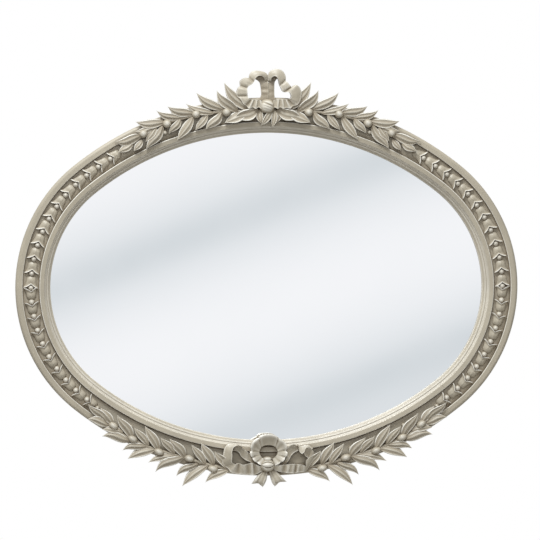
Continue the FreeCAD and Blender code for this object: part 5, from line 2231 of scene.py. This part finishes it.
TOP_SPRAY = SprayPlan(
    length=305 * MM,
    leaves=(
        (0.09, -0.40, 0.235, 0.45, 1.25, 0.45),
        (0.19, -0.36, 0.287, 0.27, 1.10, 0.45),
        (0.13, -0.34, 0.268, -0.60, 1.15, 0.35),
        (0.06, -0.32, 0.205, -0.55, 1.25, 0.80),
        (0.27, -0.26, 0.405, 0.32, 1.00, 0.12),
        (0.34, -0.31, 0.48, 0.10, 0.80, 0.12),
        (0.29, -0.32, 0.40, -0.69, 1.00, 0.12),
        (0.38, -0.29, 0.47, -0.63, 0.80, 0.12),
        (0.46, -0.20, 0.59, 0.19, 1.00, 0.12),
        (0.54, -0.24, 0.66, 0.18, 0.80, 0.12),
        (0.47, -0.26, 0.60, -0.74, 1.00, 0.12),
        (0.55, -0.22, 0.64, -0.51, 0.80, 0.12),
        (0.65, -0.18, 0.80, 0.13, 1.00, 0.12),
        (0.72, -0.20, 0.83, -0.10, 0.80, 0.12),
        (0.67, -0.25, 0.81, -0.67, 1.00, 0.12),
        (0.71, -0.21, 0.80, -0.47, 0.80, 0.12),
        (0.815, -0.28, 0.965, -0.075, 1.05, 0.12),
        (0.885, -0.36, 0.985, -0.40, 0.80, 0.12),
        (0.822, -0.40, 0.895, -0.56, 0.70, 0.12),
    ),
    berries=((0.26, -0.33), (0.45, -0.22), (0.64, -0.24), (0.80, -0.25)),
    buds=((0.67, -0.46),),
    stem=(
        (0.04, -0.38),
        (0.20, -0.33),
        (0.30, -0.29),
        (0.45, -0.25),
        (0.60, -0.23),
        (0.74, -0.23),
        (0.88, -0.38),
    ),
    berry_length=18.5 * MM,
    berry_width=17.5 * MM,
)
BOTTOM_SPRAY = SprayPlan(
    length=367 * MM,
    leaves=(
        (0.20, -0.11, 0.295, 0.31, 0.85, 0.35),
        (0.21, -0.14, 0.28, -0.54, 0.90, 0.60),
        (0.31, -0.14, 0.40, 0.53, 1.00, 0.12),
        (0.36, -0.13, 0.44, 0.33, 0.80, 0.12),
        (0.28, -0.18, 0.36, -0.68, 1.00, 0.12),
        (0.32, -0.14, 0.41, -0.58, 0.80, 0.12),
        (0.44, -0.21, 0.54, 0.39, 1.00, 0.12),
        (0.48, -0.19, 0.59, 0.22, 0.80, 0.12),
        (0.43, -0.19, 0.53, -0.57, 1.00, 0.12),
        (0.49, -0.21, 0.58, -0.51, 0.80, 0.12),
        (0.59, -0.17, 0.69, 0.35, 1.00, 0.12),
        (0.64, -0.15, 0.73, 0.22, 0.80, 0.12),
        (0.57, -0.15, 0.68, -0.62, 1.00, 0.12),
        (0.63, -0.17, 0.73, -0.46, 0.80, 0.12),
        (0.73, -0.08, 0.85, 0.17, 1.00, 0.12),
        (0.78, -0.22, 0.87, -0.01, 0.80, 0.12),
        (0.72, -0.14, 0.84, -0.54, 1.00, 0.12),
        (0.86, -0.18, 0.96, -0.01, 0.90, 0.12),
        (0.84, -0.24, 0.94, -0.46, 0.90, 0.12),
        (0.87, -0.20, 1.00, -0.36, 0.85, 0.12),
    ),
    berries=((0.28, -0.07), (0.41, -0.21), (0.57, -0.13), (0.72, -0.17), (0.84, -0.24)),
    buds=((0.449, -0.42), (0.615, -0.42), (0.757, -0.45), (0.960, -0.42)),
    stem=(
        (0.18, -0.12),
        (0.30, -0.16),
        (0.45, -0.20),
        (0.60, -0.16),
        (0.74, -0.15),
        (0.84, -0.21),
        (0.92, -0.26),
    ),
    berry_length=22 * MM,
    berry_width=14.5 * MM,
)


def main() -> None:
    """Builds the mirror's dressed pieces in order, then the studio."""
    logging.basicConfig(level=logging.INFO, format="%(name)s: %(message)s")
    paint = AntiquePaint().material()
    oval = Oval.of_frame()
    moulding = Moulding(oval, paint, BareTimber().material())
    moulding.build()
    HuskChain(oval, paint, moulding.channel_floor).build()
    LaurelSpray(oval, moulding, paint, Level.TOP, TOP_SPRAY).build()
    LaurelSpray(oval, moulding, paint, Level.BOTTOM, BOTTOM_SPRAY).build()
    TopBow(oval, moulding, paint).build()
    BottomBow(oval, moulding, paint).build()
    Backing().build()
    Studio().build()


if __name__ == "__main__":
    main()
